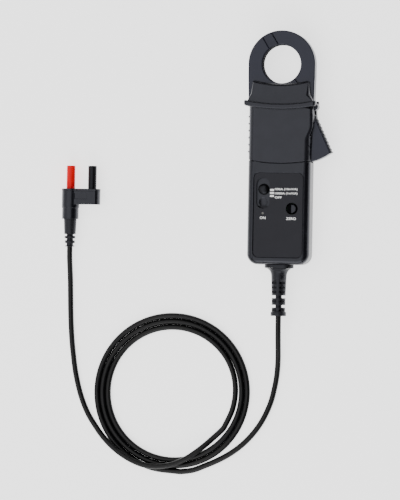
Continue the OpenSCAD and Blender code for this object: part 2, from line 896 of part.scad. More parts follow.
module power_lamp() {
    color("#6f7175") placed() {
        post([switch_x, lamp_y], board_z + board_t, body_t - panel_depth - 0.1, lamp_d / 2);
        post([switch_x, lamp_y], board_z + board_t, board_z + board_t + 1, lamp_d / 2 + 0.5);
    }
}

// ------------------------------------------------------------------- supply

battery_x0 = -inner_half_w + 0.6;
battery_x1 = battery_x0 + battery_len;
terminal_z = battery_z + battery_t / 2;
terminals = [[battery_y + battery_w / 2 - 6.3, 2.9], [battery_y + battery_w / 2 + 6.3, 3.8]];

module battery() {
    color("#3c4a5e") placed() {
        slab(battery_z, battery_z + battery_t)
            translate([battery_x0, battery_y]) square([battery_len, battery_w]);
        for (t = terminals)
            translate([battery_x1, t[0], terminal_z]) rotate([0, 90, 0])
                cylinder(h = 2.6, r = t[1]);
    }
}

module battery_snap() {
    color("#1b1b1c") placed() difference() {
        slab(battery_z + 1, battery_z + battery_t - 1)
            translate([battery_x1 + 0.4, battery_y + 1.2])
                square([inner_half_w - battery_x1 - 0.4, battery_w - 2.4]);
        for (t = terminals)
            translate([battery_x1, t[0], terminal_z]) rotate([0, 90, 0])
                cylinder(h = 2.7, r = t[1] + 0.1);
    }
}

// Straight leads from the relief over the battery to the board
module signal_leads() {
    lead_d = 1.2;
    lead_z = battery_z + battery_t + 1;
    rise_y = wall + 3.4;
    drop_y = board_y0 + 3;
    color("#b43a2c") placed() for (x = [-1.8, 0, 1.8]) translate([x, 0, 0]) {
        translate([0, wall + 2, relief_z]) rotate([-90, 0, 0])
            cylinder(h = rise_y - wall - 2, d = lead_d, $fn = 24);
        post([0, rise_y], relief_z - lead_d / 2, lead_z + lead_d / 2, lead_d / 2);
        translate([0, rise_y, lead_z]) rotate([-90, 0, 0])
            cylinder(h = drop_y - rise_y, d = lead_d, $fn = 24);
        post([0, drop_y], board_z + board_t, lead_z + lead_d / 2, lead_d / 2);
    }
}

module case_screws() {
    head_t = 1.5;
    color("#9a9ca0") placed() {
        for (at = concat(lower_screws, root_screws))
            post(at, head_z - head_t, head_z, screw_head_d / 2 - 0.2);
        for (at = lower_screws)
            post(at, head_z - 0.1, inner_front_z - 2, screw_d / 2 - 0.1);
        for (at = root_screws)
            post(at, head_z - 0.1, body_t - wall - 1, screw_d / 2 - 0.1);
    }
}

// --------------------------------------------------------- cord and relief

module at_relief(y) {
    translate([0, y, relief_z]) rotate([90, 0, 0]) children();
}

module strain_relief() {
    flange_h = 15.6;
    core_r = 2.75;
    bead_t = 3.6;
    gap_1 = 0.6 * relief_len;
    gap_2 = 0.785 * relief_len;
    gap_t = 2.3;
    color("#202124") placed() {
        // Neck in the wall and flange inside the handle
        at_relief(wall + 2) cylinder(h = 2, r = 6.4);
        at_relief(wall + 0.1) cylinder(h = wall + 0.2, r = 4.4);
        // Flange on the outside
        at_relief(0) linear_extrude(relief_flange_t) {
            for (side = [-1, 1])
                translate([side * (relief_flange_w - flange_h) / 2, 0]) circle(flange_h / 2);
            square([relief_flange_w - flange_h, flange_h], center = true);
        }
        // Trumpet, ribs and bead on one core
        intersection() {
            at_relief(0.1 - relief_flange_t) rotate_extrude() polygon(concat(
                [[0, 0]],
                [for (a = [0 : 15 : 90])
                    [relief_d / 2 + 5 - 5 * sin(a), 0.3 + 7 - 7 * cos(a)]],
                [[relief_d / 2 - 0.6, gap_1 - relief_flange_t], [0, gap_1 - relief_flange_t]]));
            along_y(-relief_len - 1, 0) translate([-20, relief_z - flange_h / 2])
                square([40, flange_h]);
        }
        at_relief(-gap_1 + 0.1) cylinder(h = relief_len - gap_1 - bead_t + 0.2, r = core_r);
        at_relief(-gap_1 - gap_t)
            cylinder(h = gap_2 - gap_1 - gap_t, r = relief_d / 2 - 0.7);
        at_relief(-gap_2 - gap_t)
            cylinder(h = relief_len - bead_t - gap_2 - gap_t, r = relief_d / 2 - 0.8);
        at_relief(-relief_len + bead_t) cylinder(h = bead_t, r = bead_d / 2);
    }
}

function unit(v) = v / norm(v);
function side_of(t) = unit(cross(t, [0, 0, 1]));
function tangent(path, i) =
    unit(path[min(i + 1, len(path) - 1)] - path[max(i - 1, 0)]);
function ring_at(p, t, r, n) = [for (k = [0 : n - 1])
    p + r * (cos(360 * (k + 0.5) / n) * side_of(t)
        + sin(360 * (k + 0.5) / n) * cross(side_of(t), t))];

// A closed tube of n sides along a path, made of triangles
module tube(path, r, n) {
    last = len(path) - 1;
    points = [for (i = [0 : last]) each ring_at(path[i], tangent(path, i), r, n)];
    walls = [for (i = [0 : last - 1]) for (k = [0 : n - 1])
        let (a = i * n + k, b = i * n + (k + 1) % n)
            each [[a, b, a + n], [b, b + n, a + n]]];
    start_cap = [for (k = [1 : n - 2]) [0, k + 1, k]];
    end_cap = [for (k = [1 : n - 2]) [last * n, last * n + k, last * n + k + 1]];
    polyhedron(points, concat(walls, start_cap, end_cap));
}

function smooth(x) = x <= 0 ? 0 : x >= 1 ? 1 : x * x * (3 - 2 * x);
function coil_radius(a) = coil_r - coil_pitch * a / 360
    - coil_tuck * smooth((a - coil_sweep + coil_tuck_sweep) / coil_tuck_sweep);
function coil_point(a) = [coil_centre[0] + coil_radius(a) * cos(-90 - a),
    coil_centre[1] + coil_radius(a) * sin(-90 - a), coil_z];
coil_turns = [for (a = [0 : coil_step : coil_sweep]) coil_point(a)];
coil_out = [sin(-90 - coil_sweep), -cos(-90 - coil_sweep), 0];
coil_end = coil_point(coil_sweep) + cord_d * coil_out;
coil_path = concat([coil_start], coil_turns, [coil_end]);

// Least gap of the coil to itself, on its rings' centres and between them
coil_mids = [for (i = [1 : len(coil_path) - 1]) (coil_path[i] + coil_path[i - 1]) / 2];
coil_marks = concat(coil_path, coil_mids);
coil_gap = min([for (i = [0 : len(coil_path) - 1]) for (j = [0 : len(coil_marks) - 1])
    let (other = j < len(coil_path) ? j : j - len(coil_path))
        if (abs(i - other) > 6) norm(coil_path[i] - coil_marks[j])]) - cord_d;
plug_path = concat([coil_end, coil_end + cord_d * coil_out], plug_route);
crossing_gap = min([for (i = [2 : len(plug_path) - 1]) for (p = coil_marks)
    norm(plug_path[i] - p)]) - cord_d;
echo(coil_gap = coil_gap, crossing_gap = crossing_gap);

function path_len(path) =
    [for (i = 1, s = norm(path[1] - path[0]); i < len(path);
        i = i + 1, s = i < len(path) ? s + norm(path[i] - path[i - 1]) : s) s][len(path) - 2];
echo(cord_len = path_len(probe_route) + path_len(coil_path) + path_len(plug_path));

module from_relief() {
    placed() translate([0, relief_end, 0]) children();
}

module cord_probe_run() {
    color("#16171a") from_relief() tube(probe_route, cord_d / 2, run_sides);
}

module cord_coil() {
    color("#16171a") from_relief() tube(coil_path, cord_d / 2, coil_sides);
}

module cord_plug_run() {
    color("#16171a") from_relief() tube(plug_path, cord_d / 2, run_sides);
}

// Spring round the pivot: three open turns of round wire, held by the handle
module jaw_spring() {
    turns = 2;
    spring_r = 5.6;
    pitch = spring_wire + 0.25;
    z0 = wall + spring_wire / 2;
    path = [for (a = [0 : 30 : 360 * turns])
        [pivot[0] + spring_r * cos(a), pivot[1] + spring_r * sin(a), z0 + pitch * a / 360]];
    color("#b9bbbf") placed() tube(path, spring_wire / 2, 6);
}

// --------------------------------------------------------------------- plug

module at_plug(y = 0, x = 0) {
    from_relief() translate([plug_at[0] + x, plug_at[1] + y, plug_at[2]])
        rotate([-90, 0, 0]) children();
}

face_t = 2;
barrel_y = boot_len + tail_len;
face_y = barrel_y + barrel_len - face_t;
spigot_d = (sleeve_d + contact_d) / 2;

module plug_boot() {
    neck_r = 2.9;
    color("#202124") {
        at_plug(0.45 * boot_len) cylinder(h = 0.55 * boot_len, r1 = boot_d / 2 - 0.6, r2 = boot_d / 2);
        at_plug() cylinder(h = 0.46 * boot_len, r = neck_r);
        at_plug(0.296 * boot_len) cylinder(h = 2.2, r = boot_d / 2 - 0.9);
        at_plug(0.125 * boot_len) cylinder(h = 2.4, r = boot_d / 2 - 1.2);
        at_plug(0) cylinder(h = 1, r = boot_d / 2 - 1.6);
    }
}

// Outline of the bridge and its face, seen along the plugs
module bridge_outline(inset = 0) {
    r = barrel_d / 2 - inset;
    circle(r);
    translate([0, -r + 1.4]) square([plug_pitch, 2 * r - 2.8]);
    translate([plug_pitch, 0]) intersection() {
        circle(r - 0.4);
        translate([-20, -r + 1.4]) square([40, 2 * r - 2.8]);
    }
}

module plug_housing() {
    color("#1b1c1f") {
        at_plug(boot_len) cylinder(h = tail_len, d = tail_d);
        at_plug(barrel_y) cylinder(h = barrel_len - face_t, d = barrel_d);
        difference() {
            at_plug(face_y + face_t - bridge_h) linear_extrude(bridge_h - face_t)
                bridge_outline();
            // Bare field on the bridge
            at_plug(face_y - 7, barrel_d / 2 - 3)
                translate([0, -barrel_d / 2, 0]) cube([11, 1.8, 5.4]);
        }
    }
}

module plug_face() {
    color("#1e1f22") difference() {
        at_plug(face_y) linear_extrude(face_t) bridge_outline(0.2);
        for (x = [0, plug_pitch])
            at_plug(face_y - 1, x) cylinder(h = 5, d = spigot_d);
    }
}

// A shroud on the face, with a narrower spigot through the face
module sleeve(x) {
    difference() {
        union() {
            at_plug(face_y + face_t, x) cylinder(h = sleeve_len, d = sleeve_d);
            at_plug(face_y, x) cylinder(h = face_t + 0.2, d = spigot_d);
        }
        at_plug(face_y + face_t + 0.6, x) cylinder(h = sleeve_len + 2, d = sleeve_bore_d);
        at_plug(face_y - 1, x) cylinder(h = 5, d = contact_d);
    }
}

module contact(x) {
    at_plug(face_y, x) cylinder(h = sleeve_len + face_t - 1.5, d = contact_d);
}

module red_sleeve() {
    color("#e30613") sleeve(0);
}

module black_sleeve() {
    color("#1a1a1c") sleeve(plug_pitch);
}

module red_contact() {
    color("#c8c9cc") contact(0);
}

module black_contact() {
    color("#c8c9cc") contact(plug_pitch);
}

rear_shell();
front_shell();
control_cover();
panel_foil();
fixed_jaw_front();
fixed_jaw_back();
sensor_tip();
fixed_core();
hall_sensor();
lever_front();
lever_back();
moving_core();
trigger_pad();
jaw_pin();
jaw_spring();
circuit_board();
range_switch();
switch_slider();
zero_control();
zero_knob();
power_lamp();
battery();
battery_snap();
battery_door();
signal_leads();
case_screws();
strain_relief();
cord_probe_run();
cord_coil();
cord_plug_run();
plug_boot();
plug_housing();
plug_face();
red_sleeve();
black_sleeve();
red_contact();
black_contact();
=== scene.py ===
import math

import bmesh
import bpy
from mathutils import Euler, Matrix, Vector


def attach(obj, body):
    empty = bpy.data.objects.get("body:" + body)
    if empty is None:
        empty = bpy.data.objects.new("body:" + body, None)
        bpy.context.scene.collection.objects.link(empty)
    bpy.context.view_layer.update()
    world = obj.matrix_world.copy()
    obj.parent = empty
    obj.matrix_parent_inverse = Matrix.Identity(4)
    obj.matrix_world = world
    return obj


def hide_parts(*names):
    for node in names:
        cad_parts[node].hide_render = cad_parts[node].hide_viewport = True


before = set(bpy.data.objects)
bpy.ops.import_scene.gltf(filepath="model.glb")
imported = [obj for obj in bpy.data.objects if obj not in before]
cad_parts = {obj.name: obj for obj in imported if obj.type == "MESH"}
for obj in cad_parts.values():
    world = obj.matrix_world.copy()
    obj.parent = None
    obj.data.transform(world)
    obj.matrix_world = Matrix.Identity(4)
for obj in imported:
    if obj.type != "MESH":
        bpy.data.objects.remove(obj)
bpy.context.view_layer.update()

# Clamp-on current probe with its coiled cord and twin safety plug.
# Places are written in millimetres from the handle's centreline, the cord end
# of the handle and its back, as in part.scad. at() turns them into the frame.

MM = 0.001
# The handle's centreline and cord end in the frame, and the height where its
# halves meet.
MIDDLE_X, CORD_END_Y, SPLIT_Z = -6.80076, -100.55, 12.5


def at(x, y, z=0.0):
    """A place of this file in the frame's metres."""
    return Vector(((x + MIDDLE_X) * MM, (y + CORD_END_Y) * MM, z * MM))


# ------------------------------------------------------------ camera, light

# The middle of the view on the floor, the height of the view and the way from
# the floor to the camera, in the frame's millimetres.
VIEW_MIDDLE, VIEW_TALL, VIEW_FROM = (-78.20, -89.08), 433, 3000
SENSOR = 36


def add_camera():
    """Nearly straight down, leaning a little to the right, rolled by one degree."""
    lean, roll = math.radians(9.8), math.radians(-1.0)
    back = Vector((math.sin(lean), 0, math.cos(lean)))
    level = Vector((math.cos(lean), 0, -math.sin(lean)))
    up = Vector((0, 1, 0))
    right = math.cos(roll) * level - math.sin(roll) * up
    top = math.sin(roll) * level + math.cos(roll) * up
    camera = bpy.data.objects.new("camera", bpy.data.cameras.new("camera"))
    bpy.context.scene.collection.objects.link(camera)
    camera.data.sensor_width = SENSOR
    camera.data.lens = SENSOR * VIEW_FROM / VIEW_TALL
    camera.data.clip_end = 50
    place = Vector((*VIEW_MIDDLE, 0)) * MM + VIEW_FROM * MM * back
    camera.matrix_world = Matrix((
        (right.x, top.x, back.x, place.x), (right.y, top.y, back.y, place.y),
        (right.z, top.z, back.z, place.z), (0, 0, 0, 1)))
    bpy.context.scene.camera = camera


def softbox(name, place, aim, width, height, glow):
    """A soft panel of light. glow is how bright its face is."""
    data = bpy.data.lights.new(name, "AREA")
    data.shape, data.size, data.size_y = "RECTANGLE", width, height
    data.energy = glow * math.pi * width * height
    lamp = bpy.data.objects.new(name, data)
    bpy.context.scene.collection.objects.link(lamp)
    lamp.location = place
    lamp.rotation_mode = "QUATERNION"
    lamp.rotation_quaternion = (Vector(aim) - Vector(place)).to_track_quat("-Z", "Y")
    lamp.visible_camera = False


def add_light():
    """A broad light overhead, set to the left, one from the left and one from the near side."""
    centre = (-0.08, -0.08, 0)
    softbox("overhead_light", (-0.85, -0.08, 2.2), (-0.85, -0.08, 0), 2.8, 4.4, 1.55)
    softbox("left_light", (-2.5, -0.08, 1.0), centre, 4.0, 2.0, 0.9)
    softbox("near_light", (0.0, -2.5, 1.45), centre, 2.4, 1.3, 4.0)
    world = bpy.data.worlds.new("room")
    bpy.context.scene.world = world
    world.use_nodes = True
    sky = world.node_tree.nodes["Background"]
    sky.inputs["Color"].default_value = (0.95, 0.97, 1.0, 1)
    sky.inputs["Strength"].default_value = 0.03


# ------------------------------------------------------------------- shaping


def clear():
    """Ends any editing and deselects everything."""
    if bpy.context.object and bpy.context.object.mode != "OBJECT":
        bpy.ops.object.mode_set(mode="OBJECT")
    bpy.ops.object.select_all(action="DESELECT")


def only(piece):
    """Selects that piece alone."""
    clear()
    piece.select_set(True)
    bpy.context.view_layer.objects.active = piece


def work_on(piece):
    """Opens that piece alone in edit mode."""
    only(piece)
    bpy.ops.object.mode_set(mode="EDIT")


def pick(kind, wanted):
    """Selects the wanted verts, edges or faces of the piece in edit mode and counts them."""
    piece = bpy.context.object
    bpy.context.tool_settings.mesh_select_mode = [
        kind == k for k in ("verts", "edges", "faces")]
    bpy.ops.mesh.select_all(action="DESELECT")
    mesh = bmesh.from_edit_mesh(piece.data)
    found = [e for e in getattr(mesh, kind) if wanted(e)]
    for e in found:
        e.select = True
    mesh.select_flush_mode()
    bmesh.update_edit_mesh(piece.data)
    return len(found)


def middle(item):
    """The middle of an edge or face in this file's millimetres."""
    spots = [v.co for v in item.verts]
    p = sum(spots, Vector()) / len(spots)
    return Vector((p.x / MM - MIDDLE_X, p.y / MM - CORD_END_Y, p.z / MM))


def crossways(low, high):
    """Wants the edges that run straight across the piece between two places along it."""
    def wanted(e):
        return (low < middle(e).y < high
                and abs(e.verts[0].co.y - e.verts[1].co.y) < 1e-5)
    return wanted


def smooth_step(value, low, high):
    """From 0 at low to 1 at high, with soft ends."""
    t = min(max((value - low) / (high - low), 0), 1)
    return t * t * (3 - 2 * t)


def done(piece, smooth=40):
    """Leaves edit mode, puts the piece's place in its mesh and smooths its curves."""
    only(piece)
    bpy.ops.object.transform_apply(location=True, rotation=True, scale=True)
    if smooth:
        bpy.ops.object.shade_smooth_by_angle(angle=math.radians(smooth))
    return piece


def outward(piece):
    """Merges the piece's doubles and turns its faces outward."""
    work_on(piece)
    bpy.ops.mesh.select_all(action="SELECT")
    bpy.ops.mesh.remove_doubles(threshold=1e-6)
    bpy.ops.mesh.normals_make_consistent(inside=False)
    bpy.ops.object.mode_set(mode="OBJECT")


def apply_all(piece):
    """Works the piece's modifiers into its mesh."""
    only(piece)
    for m in list(piece.modifiers):
        bpy.ops.object.modifier_apply(modifier=m.name)


def copy_of(node, name):
    """The node's mesh as a piece of its own, with its doubles merged and flat faces joined."""
    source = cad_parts[node]
    piece = bpy.data.objects.new(name, source.data.copy())
    bpy.context.scene.collection.objects.link(piece)
    piece.data.materials.clear()
    work_on(piece)
    bpy.ops.mesh.select_all(action="SELECT")
    bpy.ops.mesh.remove_doubles(threshold=2e-6)
    bpy.ops.mesh.dissolve_limited(angle_limit=math.radians(0.6))
    bpy.ops.object.mode_set(mode="OBJECT")
    for edge in piece.data.edges:
        edge.use_edge_sharp = False
    return piece


def soften(piece, width, wanted=None, segments=3, clamp=True):
    """Rounds a piece's sharp edges, or the wanted ones among them, by width millimetres.

    clamp holds the rounding back where edges are short or close together.
    """
    def sharp(e):
        return (len(e.link_faces) == 2 and e.calc_face_angle(0) > math.radians(35)
                and (wanted is None or wanted(e)))
    work_on(piece)
    if pick("edges", sharp):
        bpy.ops.mesh.bevel(offset=width * MM, offset_type="OFFSET", segments=segments,
                           profile=0.5, clamp_overlap=clamp, loop_slide=True)
    bpy.ops.object.mode_set(mode="OBJECT")


def even_shading(piece, smooth=32):
    """Smooth curves beside flat faces that stay flat."""
    done(piece, smooth)
    weighted = piece.modifiers.new("even", "WEIGHTED_NORMAL")
    weighted.mode, weighted.weight, weighted.keep_sharp = "FACE_AREA", 100, True
    apply_all(piece)


def finish_piece(piece, body, slot, look, *nodes):
    """Gives a piece its look and its body, and hides the nodes that it stands for. slot is not
    used.
    """
    piece.data.materials.clear()
    piece.data.materials.append(look)
    if nodes:
        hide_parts(*nodes)
    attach(piece, body)
    return piece


def cut_along(piece, axis, places, wanted):
    """Cuts the wanted faces at each place along x (axis 0) or y (axis 1)."""
    work_on(piece)
    for place in places:
        if pick("faces", wanted):
            spot = at(place, 0) if axis == 0 else at(0, place)
            bpy.ops.mesh.bisect(plane_co=spot, plane_no=(axis == 0, axis == 1, 0))
    bpy.ops.object.mode_set(mode="OBJECT")


def moved(piece, new_place):
    """Moves each vertex to new_place(x, y, z), in this file's millimetres."""
    for v in piece.data.vertices:
        x, y, z = v.co.x / MM - MIDDLE_X, v.co.y / MM - CORD_END_Y, v.co.z / MM
        found = new_place(x, y, z)
        if found:
            v.co = at(*found)


def another(piece, x=0.0, z=0.0):
    """A second piece with a mesh of its own, moved by millimetres."""
    twin = piece.copy()
    twin.data = piece.data.copy()
    bpy.context.scene.collection.objects.link(twin)
    twin.location = piece.location + Vector((x, 0, z)) * MM
    return twin


def joined(pieces, name):
    """One piece made of several."""
    only(pieces[0])
    for piece in pieces[1:]:
        piece.select_set(True)
    bpy.ops.object.join()
    pieces[0].name = name
    return done(pieces[0], smooth=0)


def combine(piece, other, operation):
    """Cuts the other shape out of the piece or adds it, and drops the other."""
    step = piece.modifiers.new("combine", "BOOLEAN")
    step.operation, step.object, step.solver = operation, other, "EXACT"
    apply_all(piece)
    bpy.data.objects.remove(other)


def turned(name, place, profile, turn=(0, 0, 0)):
    """A round piece drawn out ring by ring from a disc. profile: (distance, radius)."""
    clear()
    spin = Euler(turn).to_matrix()
    way = spin @ Vector((0, 0, 1))
    gone, r = profile[0]
    bpy.ops.mesh.primitive_circle_add(vertices=48, radius=r * MM, fill_type="NGON",
                                      location=place + gone * MM * way, rotation=turn)
    piece = bpy.context.object
    bpy.ops.object.mode_set(mode="EDIT")
    bpy.ops.mesh.select_all(action="SELECT")
    for distance, radius in profile[1:]:
        bpy.ops.mesh.extrude_region_move(
            TRANSFORM_OT_translate={"value": (distance - gone) * MM * way})
        if radius != r:
            bpy.ops.transform.resize(value=(radius / r,) * 3,
                                     center_override=place + distance * MM * way)
        gone, r = distance, radius
    bpy.ops.object.mode_set(mode="OBJECT")
    piece.name = name
    outward(piece)
    return done(piece)


def block(name, low, high, corner, edges=0.0, segments=4):
    """A bar between two corners. Its upright edges are rounded by corner, others by edges."""
    clear()
    low, high = Vector(low), Vector(high)
    bpy.ops.mesh.primitive_cube_add(size=1, location=at(*((low + high) / 2)),
                                    scale=(high - low) * MM)
    piece = done(bpy.context.object, smooth=0)
    piece.name = name

    def is_upright(e):
        return abs(e.verts[0].co.z - e.verts[1].co.z) > 1e-6
    work_on(piece)
    pick("edges", is_upright)
    bpy.ops.mesh.bevel(offset=corner * MM, segments=segments, clamp_overlap=True)
    if edges:
        pick("edges", lambda e: not is_upright(e) and e.calc_face_angle(0) > 1)
        bpy.ops.mesh.bevel(offset=edges * MM, segments=2, clamp_overlap=True)
    bpy.ops.object.mode_set(mode="OBJECT")
    return done(piece, 30)


# ----------------------------------------------------------------- materials


class Wire:
    """A node's output that takes part in Python sums."""

    def __init__(self, look, socket):
        self.look, self.socket = look, socket

    def maths(self, operation, *terms):
        return self.look.node("ShaderNodeMath", {"operation": operation},
                              dict(enumerate(terms)))

    def __add__(self, other):
        return self.maths("ADD", self, other)

    __radd__ = __add__

    def __mul__(self, other):
        return self.maths("MULTIPLY", self, other)

    __rmul__ = __mul__

    def __sub__(self, other):
        return self.maths("SUBTRACT", self, other)

    def __rsub__(self, other):
        return self.maths("SUBTRACT", other, self)

    def ramp(self, low, high):
        """From 0 at low to 1 at high, with soft ends."""
        return self.look.node(
            "ShaderNodeMapRange", {"clamp": True, "interpolation_type": "SMOOTHSTEP"},
            {"Value": self, "From Min": low, "From Max": high})


class Look:
    """A material whose nodes all come from one method."""

    def __init__(self, name, **fixed):
        self.material = bpy.data.materials.new(name)
        self.material.use_nodes = True
        self.tree = self.material.node_tree
        self.shader = self.tree.nodes["Principled BSDF"]
        for key, value in fixed.items():
            self.feed(self.shader.inputs[key.replace("_", " ")], value)

    def feed(self, socket, value):
        if isinstance(value, Wire):
            self.tree.links.new(value.socket, socket)
        elif isinstance(value, tuple) and len(value) == 3 and socket.type == "RGBA":
            socket.default_value = (*value, 1)
        else:
            socket.default_value = value

    def node(self, kind, settings=None, values=None, out=0):
        made = self.tree.nodes.new(kind)
        for key, value in (settings or {}).items():
            setattr(made, key, value)
        for key, value in (values or {}).items():
            self.feed(made.inputs[key], value)
        return Wire(self, made.outputs[out])

    def set(self, **inputs):
        for key, value in inputs.items():
            self.feed(self.shader.inputs[key.replace("_", " ")], value)
        return self.material

    def spot(self):
        return self.node("ShaderNodeTexCoord", out="Object")

    def noise(self, size, detail=2.0, rough=0.5):
        """Noise whose grains are size millimetres across."""
        return self.node("ShaderNodeTexNoise", {"noise_dimensions": "3D"},
                         {"Vector": self.spot(), "Scale": 1 / (size * MM),
                          "Detail": detail, "Roughness": rough})

    def cells(self, size):
        return self.node("ShaderNodeTexVoronoi", {"feature": "F1"},
                         {"Vector": self.spot(), "Scale": 1 / (size * MM)})

    def mix(self, factor, first, second):
        return self.node("ShaderNodeMix", {"data_type": "RGBA"},
                         {0: factor, 6: first, 7: second}, out=2)

    def soft_edge(self, radius):
        return self.node("ShaderNodeBevel", {"samples": 6}, {"Radius": radius * MM})

    def edge_mask(self, soft):
        """High along sharp edges, where the flat normal leaves the rounded one."""
        plain = self.node("ShaderNodeNewGeometry", out="Normal")
        along = self.node("ShaderNodeVectorMath", {"operation": "DOT_PRODUCT"},
                          {0: plain, 1: soft}, out="Value")
        return (1 - along).ramp(0.004, 0.12)

    def relief(self, height, depth, normal=None):
        """A bump of depth millimetres from a height between 0 and 1."""
        values = {"Height": height, "Strength": 1.0, "Distance": depth * MM}
        if normal:
            values["Normal"] = normal
        return self.node("ShaderNodeBump", None, values)


def moulded(name, colour, pale, rough, grain, depth, edge=0.35, gloss=0.5):
    """Moulded plastic: a fine grain, a faint mottle and edges rubbed a little paler.

    edge is how far from an edge the rubbing reaches, in millimetres.
    """
    look = Look(name, Specular_IOR_Level=gloss, Specular_Tint=(0.86, 0.88, 1.0))
    soft = look.soft_edge(edge)
    rubbed = look.edge_mask(soft)
    mottle = look.noise(9.0, 3.0)
    fine = look.noise(grain, 3.0, 0.6)
    tone = look.mix(mottle.ramp(0.35, 0.7), colour, pale)
    tone = look.mix(rubbed * 0.5, tone, tuple(2.2 * c + 0.004 for c in pale))
    uneven = look.noise(26.0, 2.0)
    return look.set(
        Base_Color=tone,
        Roughness=rough + (uneven - 0.5) * 0.10 + (fine - 0.5) * 0.08 - rubbed * 0.05,
        Normal=look.relief(fine, depth, soft))


# Each moulded finish: the material's name, its colour, the paler one of its
# mottle, its roughness, and the size and depth of its grain in millimetres. Two
# more are the reach of its rubbed edges and its gloss, where they aren't usual.
MOULDED = {
    "handle": ("handle_plastic", (0.0030, 0.0030, 0.0048), (0.0045, 0.0045, 0.0068),
               0.30, 0.45, 0.008),
    "grip": ("grip_plastic", (0.0072, 0.0070, 0.0098), (0.0100, 0.0098, 0.0132),
             0.33, 0.55, 0.011),
    "jaw": ("jaw_plastic", (0.0034, 0.0038, 0.0125), (0.0048, 0.0052, 0.0155),
            0.30, 0.35, 0.005, 0.5),
    "tip": ("tip_plastic", (0.0044, 0.0047, 0.0125), (0.0060, 0.0063, 0.0155),
            0.38, 0.35, 0.008, 0.3),
    # Painted shade: the window's wall is the jaws' plastic, made darker and duller to stand for
    # the shade inside the window.
    "bore_painted_shade": ("window_wall_painted_shade", (0.0006, 0.0006, 0.0010), (0.0010, 0.0010, 0.0015),
             0.75, 0.30, 0.005, 0.35, 0.05),
    "switch": ("switch_plastic", (0.0015, 0.0015, 0.0020), (0.0024, 0.0024, 0.0030),
               0.36, 0.30, 0.005, 0.5, 0.35),
    "plug": ("plug_plastic", (0.0034, 0.0035, 0.0055), (0.0050, 0.0052, 0.0075),
             0.32, 0.50, 0.006, 0.5),
    "relief": ("relief_rubber", (0.0105, 0.0105, 0.0125), (0.0150, 0.0150, 0.0175),
               0.44, 0.60, 0.010, 0.3, 0.35),
    "pad": ("pad_rubber", (0.0170, 0.0170, 0.0180), (0.0240, 0.0240, 0.0250),
            0.55, 0.50, 0.015, 0.3),
    "slider": ("slider_plastic", (0.0060, 0.0060, 0.0085), (0.0085, 0.0085, 0.0115),
               0.33, 0.40, 0.006),
    "dial": ("dial_plastic", (0.0010, 0.0010, 0.0014), (0.0016, 0.0016, 0.0020),
             0.75, 0.30, 0.006, 0.35, 0.06),
    "black_sleeve": ("black_sleeve_plastic", (0.0042, 0.0042, 0.0052),
                     (0.0060, 0.0060, 0.0072), 0.34, 0.60, 0.004, 0.35, 0.25),
    "component": ("component_case", (0.030, 0.032, 0.036), (0.045, 0.047, 0.050),
                  0.45, 0.3, 0.01),
    "trimmer": ("trimmer_case", (0.0010, 0.0010, 0.0016), (0.0016, 0.0016, 0.0024),
                0.70, 0.3, 0.006, 0.35, 0.1),
    "snap": ("snap_plastic", (0.010, 0.010, 0.010), (0.016, 0.016, 0.016), 0.5, 0.5, 0.01),
    "lead": ("lead_insulation", (0.40, 0.030, 0.018), (0.48, 0.040, 0.024),
             0.40, 0.4, 0.004)}


def make_looks():
    looks = {key: moulded(*finish) for key, finish in MOULDED.items()}
    looks.update(
        red_sleeve=red_plastic(), foil=foil_sheet(), print=glowing_white_print(), cord=cord_rubber(),
        core=core_alloy(), steel=metal("steel", (0.55, 0.56, 0.58), 0.30, 0.4),
        contact=metal("contact_metal", (0.70, 0.68, 0.62), 0.22, 0.25), lamp=lamp_lens(),
        board=board_laminate(), battery=battery_can(), floor=floor_paper())
    return looks


def red_plastic():
    """A bright, slightly glossy red with hardly any grain."""
    look = Look("red_sleeve_plastic", Specular_IOR_Level=0.15)
    fine, patch = look.noise(0.5, 3.0), look.noise(5.0, 2.0)
    tone = look.mix(patch.ramp(0.3, 0.7), (0.86, 0.0, 0.006), (0.97, 0.0, 0.008))
    return look.set(Base_Color=tone, Roughness=0.34 + (fine - 0.5) * 0.12,
                    Normal=look.relief(fine, 0.004, look.soft_edge(0.3)))


def foil_sheet():
    """Screen-printed foil with a fine matt grain."""
    look = Look("panel_foil", Specular_IOR_Level=0.45, Specular_Tint=(0.88, 0.88, 1.0))
    grain, patch = look.cells(0.16), look.noise(14.0, 3.0)
    tone = look.mix(patch.ramp(0.35, 0.65),
                    (0.0022, 0.0022, 0.0034), (0.0036, 0.0036, 0.0052))
    return look.set(Base_Color=tone, Roughness=0.42 + grain * 0.10,
                    Normal=look.relief(grain, 0.006))


def glowing_white_print():
    """Printing ink, thin in places, with a painted glow: its emission makes it brighter than
    the lamps alone would.
    """
    # The emission is painted light: the ink glows though it is no lamp.
    look = Look("glowing_white_print", Specular_IOR_Level=0.3, Emission_Color=(1, 1, 1),
                Emission_Strength=0.45)
    worn = look.noise(0.5, 4.0, 0.7)
    tone = look.mix(worn.ramp(0.30, 0.55), (0.62, 0.62, 0.61), (0.92, 0.92, 0.91))
    return look.set(Base_Color=tone, Roughness=0.55 + (worn - 0.5) * 0.1)


def cord_rubber():
    """Extruded jacket: a fine grain and a slightly uneven gloss."""
    look = Look("cord_jacket", Specular_IOR_Level=0.30)
    fine, patch = look.noise(0.8, 3.0), look.noise(18.0, 3.0)
    tone = look.mix(patch.ramp(0.3, 0.7), (0.0020, 0.0020, 0.0024), (0.0034, 0.0034, 0.0039))
    return look.set(Base_Color=tone,
                    Roughness=0.40 + (patch - 0.5) * 0.14 + (fine - 0.5) * 0.08,
                    Normal=look.relief(fine, 0.010))


def lamp_lens():
    """A dull, cloudy lens, with the lamp out."""
    look = Look("lamp_lens", Specular_IOR_Level=0.5)
    cloud = look.noise(0.7, 2.0)
    tone = look.mix(cloud.ramp(0.3, 0.7), (0.13, 0.125, 0.12), (0.18, 0.17, 0.165))
    return look.set(Base_Color=tone, Roughness=0.30 + (cloud - 0.5) * 0.1,
                    Normal=look.relief(cloud, 0.01, look.soft_edge(0.2)))


